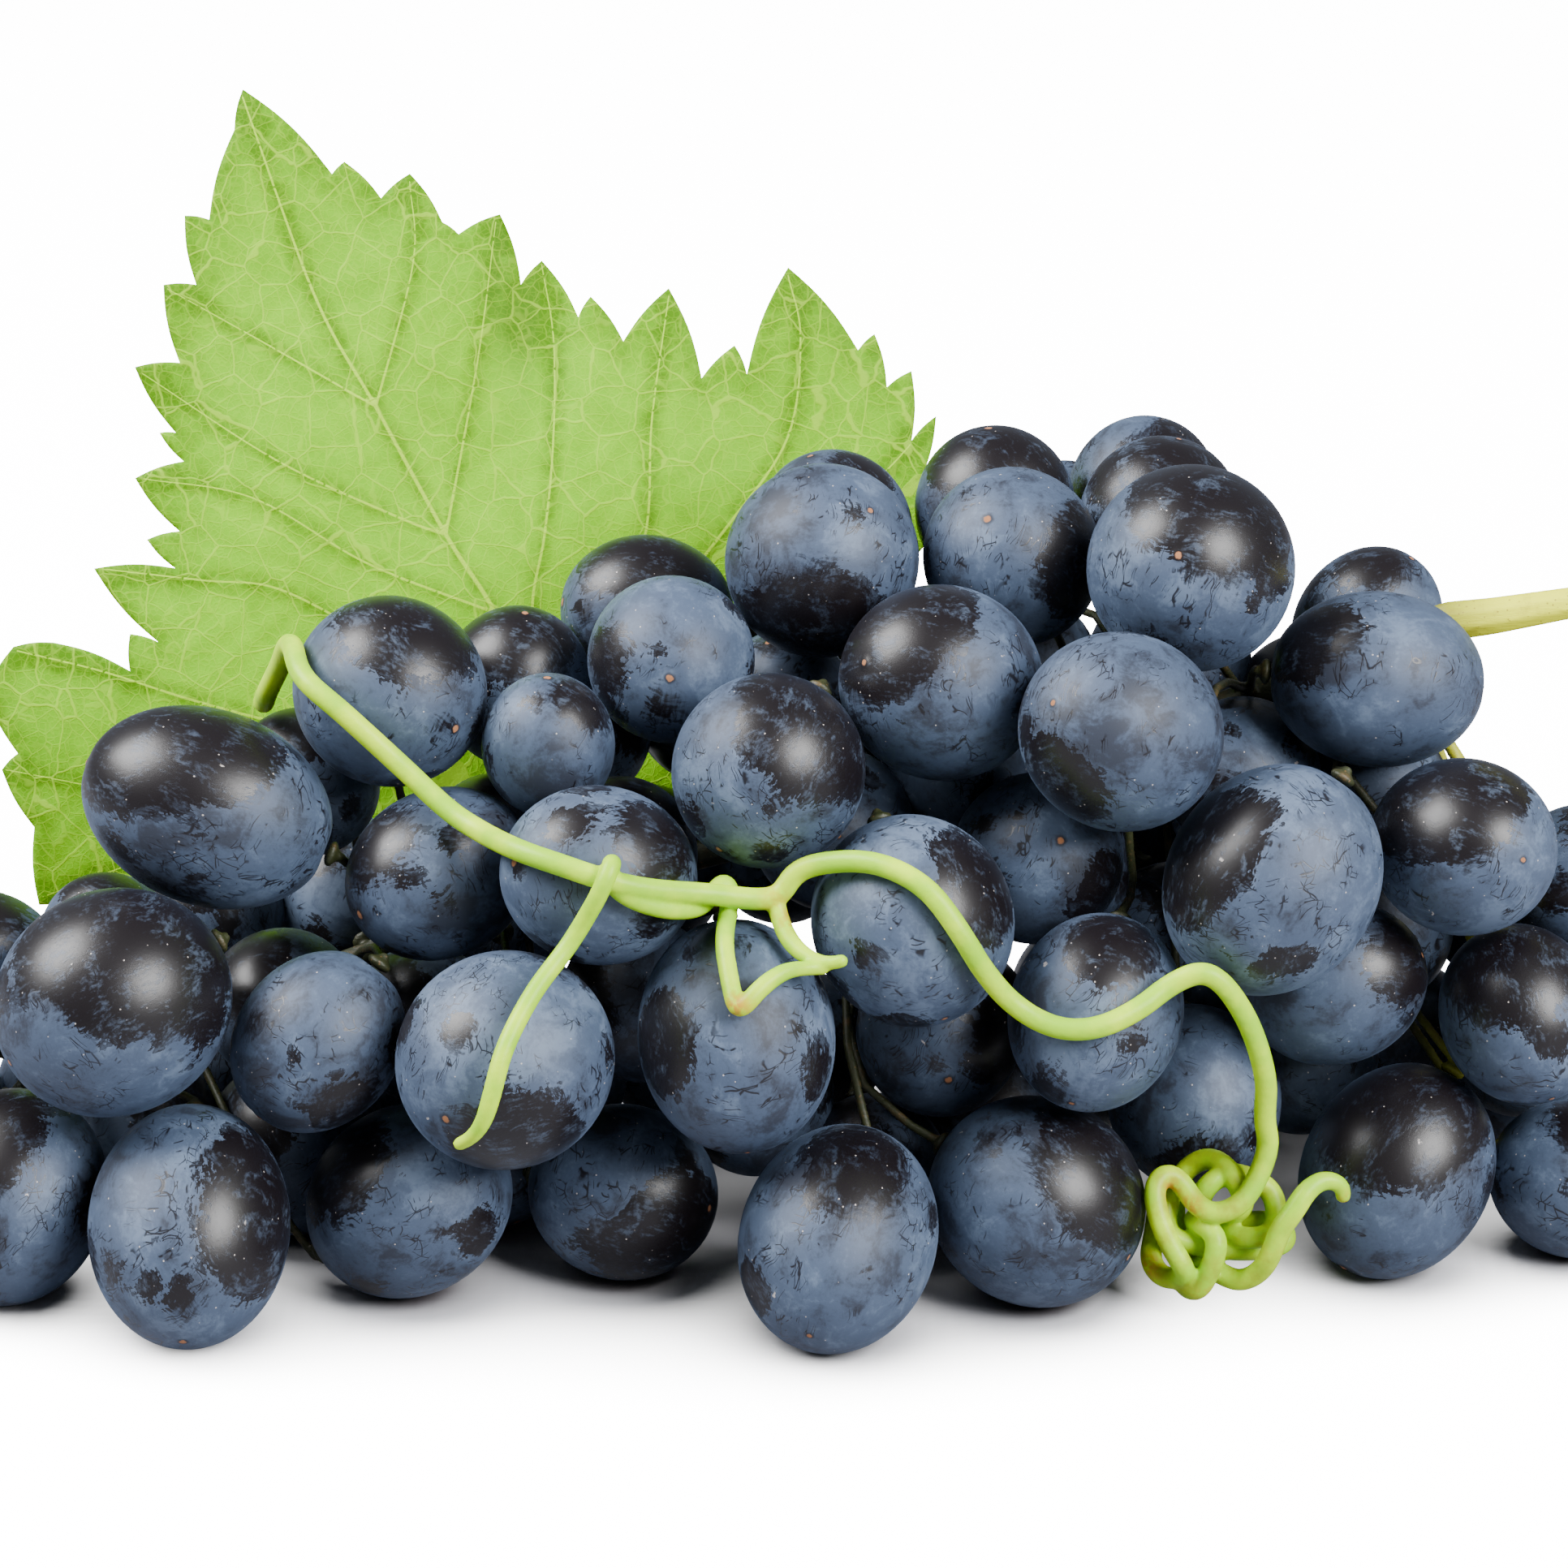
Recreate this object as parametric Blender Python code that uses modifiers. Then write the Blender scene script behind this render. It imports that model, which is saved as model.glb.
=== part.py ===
"""A bunch of dark table grapes lying on its side, with a vine leaf behind it and a tendril over it.

Design values are in millimetres. +X runs along the bunch to the cut stalk, -Y is its front,
+Z is up and the table is at Z = 0.
"""

import heapq
import itertools
import math

import bmesh
import bpy
import numpy as np
from mathutils import Matrix, Vector
from mathutils.geometry import delaunay_2d_cdt

MM = 0.001
GAP = 0.4  # clear space between neighbouring pieces

# A berry is (across, deep, up, girth, length, turn, lift). Turn and lift aim its free tip:
# turn 0 is to the front, 90 to the right, and lift is above level. Up is None on the table.
FLOOR_TIER = [
    (-87, -31, None, 22, 25, -25, -50),
    (-66, -41, None, 22.5, 28.5, 0, -40),
    (-42, -31, None, 21.5, 24.5, 80, 35),
    (-18, -24, None, 20, 22, 65, 0),
    (5.5, -42, None, 22, 28, -15, -27),
    (28, -33, None, 23.5, 25, 60, -20),
    (47.5, -13, 17, 20, 22, 10, -45),
    (70, -26, None, 21.5, 25.5, -50, -50),
    (90, -20, None, 18, 20, 55, -5),
]
SECOND_TIER = [
    (-89, -16, 34, 17, 19, -70, 20),
    (-73.5, -32, 35, 25, 27, -60, -20),
    (-78, -8, 32, 16, 18, -30, 55),
    (-51.5, -31, 31.5, 18.5, 21.5, -60, -45),
    (-30.5, -37, 32, 24, 25, -30, -12),
    (-5, -36, 32.5, 22, 26.5, 10, -57),
    (17.5, -16, 25, 19, 20.5, 5, -10),
    (34.5, -31, 34.5, 19.5, 23, -20, -42),
    (62, -18, 32, 18.5, 21.5, 80, 23),
    (82, -20, 29.5, 18.5, 21, 26, -48),
]
THIRD_TIER = [
    (-63.5, -20, 54, 22, 29, -93, 21),
    (-55, 0, 50, 17, 18, -53, 50),
    (-39, -20, 46.5, 19, 22.5, -53, -13),
    (-19.5, -27, 49, 20, 23, -58, 19),
    (14, -31, 45, 22.5, 24, 26, -48),
    (28, -12, 45.5, 19.5, 21.5, 14, 31),
    (53, -28, 49, 23.5, 27, -60, -49),
    (76, -14, 47, 20, 23.5, 29, 11),
    (92, -4, 39, 18, 20, 76, 11),
]
FOURTH_TIER = [
    (-43, -12, 64.5, 21.5, 22.5, 45, -9),
    (-30.5, 3, 60.5, 17.5, 19, 48, 80),
    (-25.5, -14, 60, 15, 16.5, 0, 87),
    (-13.5, -6, 66.5, 19, 21, 0, 7),
    (-16, 9, 67, 18, 20.5, -80, 10),
    (-1.5, -22, 59, 21.5, 22, -41, -40),
    (16.5, -12, 66.5, 22, 24, -53, 23),
    (36.5, -20, 63.5, 22, 24, -49, 29),
    (66.5, -6, 64, 20, 24.5, 89, -4),
    (66, 12, 61, 17, 20, 86, 60),
]
TOP_TIER = [
    (4, -1, 75, 22, 23, 41, 44),
    (25.5, 3, 75.5, 20.5, 22, -23, 40),
    (45, -4, 76.5, 23.5, 26, -11, 24),
    (6.5, 18, 74.5, 18.5, 19.5, -92, 73),
    (24, 21, 76, 19, 20, -115, 84),
    (34, 36, 68, 17, 18, 150, 60),
    (43.5, 15, 76.5, 19, 20, 116, 77),
    (42, 32, 74, 18, 19, 150, 55),
]
END_TIER = [
    (-105, -20, None, 19, 21, -80, -10),
    (-103, -8, 27, 17, 19, -100, 20),
    (108, -10, None, 19, 21, 90, -10),
]
# Berries deep in the bunch and round its back press on each other: each chain is one node.
# A chained berry is (across, deep, up, girth), and its tip faces away from the stalk.
CHAINS = {
    "berries_back_low_left": [
        (-107, -2, 10, 17), (-91, -3, 10, 19.5), (-71, 6, 10, 20), (-51, 13, 10, 20.5),
        (-30, 19, 10, 20), (-9, 25, 10, 20.5), (5, 12, 12, 17),
    ],
    "berries_back_low_right": [
        (13, 30, 10, 20.5), (34, 33, 10, 21), (56, 29, 10, 20.5), (76, 19, 10, 20), (94, 7, 10, 18.5),
        (84, -5, 21, 17),
    ],
    "berries_back_mid_left": [
        (-72, 5, 29, 18), (-52, 13, 30, 19), (-32, 20, 31, 20), (-11, 28, 31, 20.5),
        (2, 20, 34, 17),
    ],
    "berries_back_mid_right": [
        (11, 36, 31, 20.5), (33, 39, 31, 21), (55, 34, 31, 20), (74, 24, 30, 19.5), (89, 12, 28, 18),
        (102, 0, 28, 18),
    ],
    "berries_back_high": [
        (-31, 16, 50, 18), (-11, 25, 51, 19.5), (10, 34, 52, 20.5), (32, 39, 52, 20.5),
        (53, 33, 53, 20), (70, 22, 47, 19), (50, 15, 43, 17),
    ],
    "berries_inner_left": [
        (-74, -15, 14, 17), (-56, -13, 10, 19), (-60, -12, 32, 18), (-40, -11, 28, 18),
        (-31, -10, 10, 18.5),
    ],
    "berries_inner_middle": [
        (-36, -4, 44, 17), (-17, -9, 48, 18), (-20, -15, 29, 18.5), (-3, -14, 14, 18.5),
        (10, -21, 10, 17), (26, -4, 11, 19.5),
    ],
    "berries_inner_right": [
        (36, 1, 59, 18), (51, 2, 56, 18), (69, 3, 47, 18), (75, 2, 28, 18.5), (62, -5, 13, 19),
        (48, 4, 27, 19.5), (32, 5, 37, 18), (18, 4, 56, 18.5), (4, -5, 45, 19), (0, 7, 57, 17),
    ],
}
CHAIN_STRETCH = 1.08  # a chained berry's length over its girth
PRESSED = 1.8  # how far chained neighbours sink into each other
BERRY_FACETS = (12, 7)  # round and along a single berry
CHAIN_FACETS = (10, 6)

# The main stalk's line, from the tip of the bunch to its cut end, and how thick it is there.
RACHIS = [
    (-84, -8, 20, 1.1),
    (-62, -1, 24, 1.3),
    (-38, 4, 31, 1.5),
    (-12, 9, 37, 1.7),
    (14, 12, 43, 1.9),
    (38, 12, 50, 2.0),
    (58, 9, 58.5, 2.1),
    (74, 5, 67, 2.4),
    (80, 4, 68.5, 2.2),
    (92, 3, 71, 1.75),
    (106, 2, 74, 1.7),
    (120, 0, 78, 1.9),
]

# The leaf leans back behind the bunch. Its outline is (right, up) from where its stalk joins,
# in its own plane, starting from the top point and going clockwise.
LEAF_FOOT = (-29, 39, 43)
LEAF_LEAN = 20
LEAF_THICK = 0.5
LEAF_OUTLINE = [
    (-37, 77.5), (-26, 67), (-24.5, 68.5), (-20, 64), (-16.5, 67), (-12.5, 61), (-10.5, 59.5),
    (-5.5, 62), (-3, 53.5), (-0.5, 56.5), (4, 49.5), (5.5, 52), (9.5, 46.5), (15, 53), (19, 42),
    (23, 46), (24.5, 42.5), (29.5, 55.5), (38, 45.5), (40, 47.5), (41.5, 41), (44.5, 43), (44.5, 34.5),
    (47.5, 37.5), (45.5, 29.5), (48.5, 25.5), (44, 19.5), (45, 13.5), (39.5, 10), (38.5, 4), (32.5, 3),
    (28.5, -3), (22.5, -2.5), (17.5, -8), (9, -7.5), (3, -2), (-3, -2), (-7, -11), (-14.5, -17.5),
    (-18.5, -22.5), (-23.5, -20), (-28, -25), (-33.5, -21.5), (-39.5, -25.5), (-44.5, -22),
    (-51, -25.5), (-54.5, -20.5), (-62, -22), (-62.5, -12.5), (-66.5, -5.5), (-64.5, -3.5), (-68.5, 4),
    (-65, 9.5), (-60, 10), (-50.5, 6.5), (-50.5, 11), (-47, 10), (-55, 19), (-45, 19), (-48.5, 22.5),
    (-44.5, 23.5), (-50, 30), (-44, 32), (-47, 35.5), (-45, 35.5), (-50, 43.5), (-44.5, 44),
    (-46.5, 53.5), (-42.5, 53.5), (-44, 62), (-41, 61.5), (-38, 72.5),
]
LEAF_GRID = 9

# The tendril's lines are (across, up, front), seen from the front and LEAF_LEAN above level.
TENDRIL_RADIUS = 1.15
TENDRIL = [
    (-58.5, 53.5, 20.5), (-57.5, 55.5, 25), (-55.5, 59, 30), (-54, 61.5, 36.5), (-52.5, 58, 43),
    (-48, 54, 45), (-41.5, 48, 44.5), (-36.5, 43.5, 45.5), (-32.5, 41, 48), (-28, 39, 54.5),
    (-23.5, 37.5, 57), (-19, 36, 57), (-14.5, 35, 55), (-8.5, 34.5, 52), (-1, 34, 50.5), (1.5, 37, 51),
    (6.5, 38, 53.5), (11, 37.5, 56), (15.5, 35, 57.5), (19, 30.5, 57.5), (21.5, 26.5, 55.5),
    (25, 22.5, 53), (29.5, 20, 53), (34, 20, 53.5), (38.5, 22, 52.5), (42, 24.5, 51.5), (45.5, 26, 52),
    (48, 24.5, 51.5), (51, 20, 49), (53, 14, 45), (53, 9.5, 42), (53.5, 6.5, 40), (52.5, 3.5, 39.5),
    (51, 1, 39.5), (49.5, -0.5, 39.5), (47, -1.5, 39.5), (45.5, -1, 39), (43.5, 0.5, 38),
    (42, 2.5, 37.5), (40.5, 3, 37.5), (39, 2, 38), (39, -0.5, 38.5), (40, -3, 39), (41.5, -5.5, 39),
    (43, -7.5, 39), (43, -8.5, 37), (41, -8.5, 35.5), (40, -7, 35), (40.5, -5, 33.5), (41, -3, 32.5),
    (41.5, -1, 32), (42, 1.5, 32.5), (43, 2, 34.5), (42.5, -1, 36), (42.5, -3.5, 36.3),
    (44, -4.5, 36.5), (46.5, -5, 36), (50, -5.5, 35.5), (53, -5.5, 35), (56, -5, 34), (56.5, -3.5, 33),
    (53.5, -2.5, 32.5), (51, -3, 32), (48, -3, 32), (46, -2, 34), (46, -2.5, 36.5), (47.5, -3, 38.8),
    (48.5, -5, 39.5), (47.5, -6.5, 39), (47, -8.5, 38), (45.5, -10.5, 37), (44.5, -9, 36),
    (45, -7, 33.5), (47, -5, 32.5), (49, -4, 34.5), (51.5, -4, 37.5), (54, -4, 37.5), (55, -2, 36),
    (54.5, 1, 35), (52, 2.5, 35), (49.5, 3, 35.5), (47.5, 2, 36.5), (46.5, 0.5, 36), (47, -1.5, 34),
    (49, -2, 34), (50.5, -1.5, 36.5), (51.5, -0.5, 37), (50.5, 2, 37), (48.5, 4.5, 35), (46, 4, 33),
    (44, 1.5, 32), (44, -2, 30.5), (44.5, -6, 31.5), (46, -7.5, 34.5), (47.5, -7.5, 35.5),
    (49.5, -8.5, 36.5), (51, -9, 37), (52.5, -8, 38.5), (54, -6, 40.5), (54.5, -3.5, 41.5),
    (56, -1.5, 42), (57.5, 1, 42), (59, 2.5, 41.5), (61, 2.5, 41), (62.5, 1.5, 40.5), (62, 0, 40),
]
TENDRIL_FORKS = {
    "long": [
        (-19, 36.5, 57), (-18.5, 38.5, 59), (-19.5, 35.5, 60), (-23, 29.5, 57.5), (-27, 24, 60),
        (-30, 18, 63), (-31.5, 12.5, 63), (-33, 9, 61.5), (-35.5, 7.5, 59),
    ],
    "hook": [
        (-19, 36, 57), (-17.5, 34.5, 56), (-13.5, 33, 54), (-9.5, 33, 51), (-7.5, 35, 48),
        (-6, 36.5, 47), (-6, 33.5, 48.5), (-6.5, 29.5, 54), (-6, 26, 56.5), (-5, 22, 58.5),
        (-4, 23, 58.5), (-0.5, 26, 57), (2.5, 26.5, 55), (5, 26.5, 54.5),
    ],
    "curl": [
        (-1, 34, 50.5), (0, 30.5, 51.5), (1.5, 28.5, 53), (4, 27, 54.5), (7, 27.5, 55.5),
    ],
}

PETIOLE = [LEAF_FOOT, (-29, 31, 38), (-28, 20, 36), (-26, 10, 36)]
PETIOLE_RADIUS = 1.2
LEAF_ROOM = 2.4  # how far the berries stay in front of the leaf's plane
LEAST_ROOM = 0.85  # the tightest place a side stalk squeezes through
STUB_ROOM = 1.1  # how far other berries stay from the start of a berry's stalk


def aim(turn, lift):
    """The unit vector of a turn and a lift in degrees."""
    t, l = math.radians(turn), math.radians(lift)
    return np.array([math.sin(t) * math.cos(l), -math.cos(t) * math.cos(l), math.sin(l)])


def nearest_on_line(points, line):
    """For each point, the nearest point on a polyline."""
    a, b = line[:-1], line[1:]
    along = b - a
    rel = points[:, None, :] - a[None]
    t = np.clip((rel * along).sum(-1) / (along * along).sum(-1), 0, 1)
    on = a + t[..., None] * along
    best = np.linalg.norm(points[:, None, :] - on, axis=-1).argmin(1)
    return on[np.arange(len(points)), best]


def leaf_plane():
    """The leaf's own right, up and back directions."""
    lean = math.radians(LEAF_LEAN)
    up = np.array([0, math.sin(lean), math.cos(lean)])
    return np.array([1.0, 0, 0]), up, np.array([0, math.cos(lean), -math.sin(lean)])


class Bunch:
    """Every berry's centre, size and axis, settled so that none sinks into another."""

    def __init__(self):
        rows, self.names, self.on_floor = [], [], []
        singles = FLOOR_TIER + SECOND_TIER + THIRD_TIER + FOURTH_TIER + TOP_TIER + END_TIER
        for number, (x, y, up, girth, length, turn, lift) in enumerate(singles, 1):
            rows.append((x, y, girth / 2 if up is None else up, girth, length, *aim(turn, lift)))
            self.names.append(f"berry_{number:02d}")
            self.on_floor.append(up is None)
        self.bonds = []
        rachis = np.array([p[:3] for p in RACHIS], float)
        for name, chain in CHAINS.items():
            for k, (x, y, up, girth) in enumerate(chain):
                if k:
                    self.bonds.append((len(rows) - 1, len(rows)))
                centre = np.array([[x, y, up]], float)
                out = (centre - nearest_on_line(centre, rachis))[0]
                out /= np.linalg.norm(out)
                rows.append((x, y, up, girth, girth * CHAIN_STRETCH, *out))
                self.names.append(name)
                self.on_floor.append(up == 10)
        rows = np.array(rows, float)
        self.centre = rows[:, :3].copy()
        self.start = rows[:, :3].copy()
        self.girth, self.length, self.axis = rows[:, 3], rows[:, 4], rows[:, 5:8]
        self.on_floor = np.array(self.on_floor)
        self.rods = [(rachis, 2.4), (np.array(PETIOLE, float), PETIOLE_RADIUS)]

    def reach(self, who, direction):
        """How far a berry extends along a unit direction, from its centre."""
        along = (direction * self.axis[who]).sum(-1)
        g, l = self.girth[who], self.length[who]
        return 0.5 * np.sqrt(g * g + (l * l - g * g) * along * along)

    def stalk_end(self, away):
        """A point the given distance beyond the end of each berry that holds its stalk."""
        return self.centre - self.axis * (self.length / 2 + away)[:, None]

    def settle(self, rounds=1800):
        """Push overlapping berries apart, mostly in depth, until nothing sinks into anything."""
        n = len(self.centre)
        everyone = np.arange(n)
        i, j = np.triu_indices(n, 1)
        bonded = {frozenset(b) for b in self.bonds}
        bond = np.array([frozenset((a, b)) in bonded for a, b in zip(i, j)])
        wanted = np.where(bond, -PRESSED, GAP)
        single = np.array([name.startswith("berry_") for name in self.names])
        right, up, back = leaf_plane()
        held = 0.8 * (np.outer(right, right) + np.outer(up, up)) * single[:, None, None]
        room = np.full(n, 1.0)
        foot = np.array(LEAF_FOOT, float)
        for step in range(rounds):
            move = np.zeros_like(self.centre)
            d = self.centre[j] - self.centre[i]
            dist = np.linalg.norm(d, axis=1)
            way = d / dist[:, None]
            need = self.reach(i, way) + self.reach(j, way) + wanted - dist
            need = np.where(bond, need, np.maximum(need, 0)) * 0.5
            push = way * need[:, None]
            np.add.at(move, i, -push)
            np.add.at(move, j, push)
            stub = self.stalk_end(room)
            d = self.centre[None] - stub[:, None]
            dist = np.linalg.norm(d, axis=2) + np.eye(n) * 99
            way = d / dist[:, :, None]
            need = np.maximum(self.reach(everyone[None], way) + STUB_ROOM - dist, 0)[:, :, None] * way
            move += 0.3 * (need.sum(0) - need.sum(1))
            for line, radius in self.rods:
                away = self.centre - nearest_on_line(self.centre, line)
                dist = np.linalg.norm(away, axis=1)
                away /= dist[:, None]
                need = np.maximum(self.reach(everyone, away) + radius + GAP - dist, 0)
                move += away * need[:, None]
            rel = self.centre - foot
            behind = (rel[:, 0] > -72) & (rel[:, 0] < 52) & (rel @ up > -36)
            need = np.maximum(rel @ back + self.reach(everyone, back) + LEAF_ROOM, 0) * behind
            move -= back * need[:, None]
            move -= np.einsum("nij,nj->ni", held, move)
            self.centre += np.clip(move * 0.5, -1, 1)
            if step < rounds * 0.6:
                self.centre += (self.start - self.centre) * 0.02
            low = self.reach(everyone, np.array([0, 0, 1.0]))
            self.centre[:, 2] = np.where(self.on_floor, low, np.maximum(self.centre[:, 2], low))
        return self

    def distance(self, points):
        """How far points are outside the nearest berry, and the direction straight out from it."""
        d = points[:, None] - self.centre[None]
        g, l = self.girth / 2, self.length / 2
        along = (d * self.axis).sum(-1)
        across = d - along[..., None] * self.axis
        level = np.sqrt((across * across).sum(-1) / g**2 + along**2 / l**2)
        slope = across / (g**2)[:, None] + along[..., None] / (l**2)[:, None] * self.axis
        steep = np.linalg.norm(slope, axis=-1)
        out = (level - 1) * level / np.maximum(steep, 1e-9)
        best = out.argmin(1)
        rows = np.arange(len(points))
        return out[rows, best], slope[rows, best] / steep[rows, best][:, None]


def lay(bunch, points, radius, rounds=60):
    """Move a line's points off the berries and the table, smoothing what moved."""
    start = points.copy()
    for _ in range(rounds):
        gap, out = bunch.distance(points)
        points = points + out * np.maximum(radius + GAP - gap, 0)[:, None]
        points[:, 2] = np.maximum(points[:, 2], radius + 0.3)
        moved = points - start
        moved[1:-1] = 0.5 * moved[1:-1] + 0.25 * (moved[:-2] + moved[2:])
        points = start + moved
    gap, out = bunch.distance(points)
    return points + out * np.maximum(radius + GAP - gap, 0)[:, None]


def from_front(rows):
    """Points given as (across, up, front) in the leaning frame, as X, Y, Z."""
    right, up, back = leaf_plane()
    rows = np.array(rows, float)
    return rows[:, :1] * right + rows[:, 1:2] * up - rows[:, 2:] * back


def smooth_line(points, spacing):
    """A Catmull-Rom curve through the points, resampled at about the given spacing."""
    p = np.vstack([2 * points[0] - points[1], points, 2 * points[-1] - points[-2]])
    dense = []
    for a, b, c, d in zip(p[:-3], p[1:-2], p[2:-1], p[3:]):
        for t in np.linspace(0, 1, 8, endpoint=False):
            bend = (2 * a - 5 * b + 4 * c - d) * t**2 + (3 * b - a - 3 * c + d) * t**3
            dense.append(0.5 * (2 * b + (c - a) * t + bend))
    dense = np.array(dense + [points[-1]])
    run = np.r_[0, np.cumsum(np.linalg.norm(np.diff(dense, axis=0), axis=1))]
    even = np.linspace(0, run[-1], max(2, round(run[-1] / spacing) + 1))
    return np.stack([np.interp(even, run, dense[:, k]) for k in range(3)], 1)


class Routes:
    """The side stalks: shortest ways from every berry to the main stalk between the berries."""

    CELL = 1.25
    LOW = np.array([-114.0, -56.0, 0.6])
    HIGH = np.array([116.0, 52.0, 92.0])

    def __init__(self, bunch, tendril_lines):
        self.bunch = bunch
        self.shape = tuple(np.ceil((self.HIGH - self.LOW) / self.CELL).astype(int))
        axes = [self.LOW[k] + self.CELL * np.arange(self.shape[k]) for k in range(3)]
        self.cells = np.stack(np.meshgrid(*axes, indexing="ij"), -1)
        self.room = np.full(self.shape, 6.0)
        for k in range(len(bunch.centre)):
            self.keep_off(bunch.centre[k : k + 1], bunch.length[k] / 2 + 5, berry=k)
        rel = self.cells - np.array(LEAF_FOOT, float)
        _, up, back = leaf_plane()
        leaf = (rel @ back > -2.2) & (rel[..., 0] > -72) & (rel[..., 0] < 52) & (rel @ up > -30)
        self.room[leaf] = 0
        self.keep_off(smooth_line(np.array(PETIOLE, float), 1.0), PETIOLE_RADIUS)
        for line in tendril_lines:
            self.keep_off(line, TENDRIL_RADIUS)

    def keep_off(self, line, radius, berry=None):
        for p in line:
            reach = radius + 4
            a = np.maximum(((p - reach - self.LOW) / self.CELL).astype(int), 0)
            b = np.minimum(((p + reach - self.LOW) / self.CELL).astype(int) + 2, self.shape)
            box = tuple(slice(lo, hi) for lo, hi in zip(a, b))
            rel = self.cells[box] - p
            if berry is None:
                out = np.linalg.norm(rel, axis=-1) - radius
            else:
                g, l = self.bunch.girth[berry] / 2, self.bunch.length[berry] / 2
                along = rel @ self.bunch.axis[berry]
                across = np.maximum((rel * rel).sum(-1) - along**2, 0)
                level = np.sqrt(across / g**2 + along**2 / l**2)
                steep = np.sqrt(across / g**4 + along**2 / l**4)
                out = (level - 1) * level / np.maximum(steep, 1e-9)
            self.room[box] = np.minimum(self.room[box], out)

    def flood(self, sources, least):
        """Costs and parents of every free cell, spreading out from the source cells."""
        free = (self.room > least) & (self.room < 3.5)
        cost = np.full(self.shape, np.inf)
        parent = np.full(self.shape, -1, int)
        steps = [step for step in itertools.product((-1, 0, 1), repeat=3) if any(step)]
        queue = []
        for cell in sources:
            if free[cell]:
                cost[cell] = 0
                heapq.heappush(queue, (0.0, cell))
        lengths = [self.CELL * math.sqrt(a * a + b * b + c * c) for a, b, c in steps]
        nx, ny, nz = self.shape
        while queue:
            so_far, (x, y, z) = heapq.heappop(queue)
            if so_far > cost[x, y, z]:
                continue
            for (a, b, c), length in zip(steps, lengths):
                i, j, k = x + a, y + b, z + c
                if not (0 <= i < nx and 0 <= j < ny and 0 <= k < nz) or not free[i, j, k]:
                    continue
                total = so_far + length * (1 + 0.5 / self.room[i, j, k])
                if total < cost[i, j, k]:
                    cost[i, j, k] = total
                    parent[i, j, k] = (x * ny + y) * nz + z
                    heapq.heappush(queue, (total, (i, j, k)))
        return cost, parent

    def cell_of(self, point):
        cell = np.round((point - self.LOW) / self.CELL).astype(int)
        return tuple(np.clip(cell, 0, np.array(self.shape) - 1))

    def near(self, point, radius):
        """The cells within a radius of a point."""
        span = int(radius / self.CELL) + 1
        x, y, z = self.cell_of(point)
        ranges = [range(max(c - span, 0), min(c + span + 1, n)) for c, n in zip((x, y, z), self.shape)]
        cells = [(i, j, k) for i in ranges[0] for j in ranges[1] for k in ranges[2]]
        return [c for c in cells if np.linalg.norm(self.cells[c] - point) <= radius]

    def grow(self):
        """Side stalks as (points, radii) lines that each start on an older line's point."""
        bunch = self.bunch
        rachis = smooth_line(bunch.rods[0][0], 1.0)
        starts = sorted({c for p in rachis for c in self.near(p, 2.6)})
        cost, parent = self.flood(starts, LEAST_ROOM)
        ends = bunch.stalk_end(np.full(len(bunch.centre), 1.3))
        poles = bunch.stalk_end(np.full(len(bunch.centre), 0.35))
        reached = []
        for who, end in enumerate(ends):
            open_cells = [c for c in self.near(end, 4) if np.isfinite(cost[c])]
            cell = min(open_cells, key=lambda c: np.linalg.norm(self.cells[c] - end) * 3 + cost[c] * 0.2)
            reached.append((cost[cell], who, cell))
        points, above, known, lines = [], [], {}, []

        def add(point, parent_index):
            points.append(point)
            above.append(parent_index)
            return len(points) - 1

        for _, who, cell in sorted(reached, reverse=True):
            way = []
            while cell not in known and parent[cell] >= 0:
                way.append(cell)
                cell = tuple(int(c) for c in np.unravel_index(parent[cell], self.shape))
            if cell not in known:
                here = self.cells[cell]
                root = add(rachis[np.linalg.norm(rachis - here, axis=1).argmin()], -1)
                known[cell] = add(here, root)
                line = [root, known[cell]]
            else:
                line = [known[cell]]
            for cell in reversed(way):
                known[cell] = add(self.cells[cell], line[-1])
                line.append(known[cell])
            line.append(add(ends[who], line[-1]))
            line.append(add(poles[who], line[-1]))
            lines.append(line)
        points, above = np.array(points), np.array(above)
        load = np.zeros(len(points), int)
        for line in lines:
            load[line[-1]] = 1
        for index in range(len(points) - 1, -1, -1):
            if above[index] >= 0:
                load[above[index]] += load[index]
        return self.relax(points, above, load, lines)

    def relax(self, points, above, load, lines):
        """Straighten the lines, keep them off the berries and thin them to few points."""
        fixed = above < 0
        for line in lines:
            fixed[line[-2:]] = True
        want = 0.5 * load**0.4
        kids = np.flatnonzero(above >= 0)
        count = np.bincount(above[kids], minlength=len(points)) + (above >= 0)
        for _ in range(40):
            total = np.zeros_like(points)
            np.add.at(total, above[kids], points[kids])
            total[kids] += points[above[kids]]
            average = total / np.maximum(count, 1)[:, None]
            points = np.where(fixed[:, None], points, 0.5 * (points + average))
            gap, out = self.bunch.distance(points)
            lift = out * np.maximum(0.9 - gap, 0)[:, None]
            points = np.where(fixed[:, None], points, points + lift)
        gap, _ = self.bunch.distance(points)
        radius = np.clip(np.minimum(want, gap - 0.35), 0.4, 1.4)
        forks = set(np.flatnonzero(np.bincount(above[kids], minlength=len(points)) > 1).tolist())
        grown = []
        for line in lines:
            keep = [line[0]]
            for place in range(1, len(line) - 2):
                far = place - line.index(keep[-1]) >= 5
                if line[place] in forks or (far and line[place + 1] not in forks):
                    keep.append(line[place])
            keep += line[-2:]
            radii = radius[keep]
            radii[0] = min(radii[0], radii[1])
            radii[-2:] = 0.55, 1.0
            grown.append((points[keep], radii))
        return grown


def clear_scene():
    for thing in list(bpy.data.objects):
        bpy.data.objects.remove(thing)
    for collection in list(bpy.data.collections):
        bpy.data.collections.remove(collection)


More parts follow.
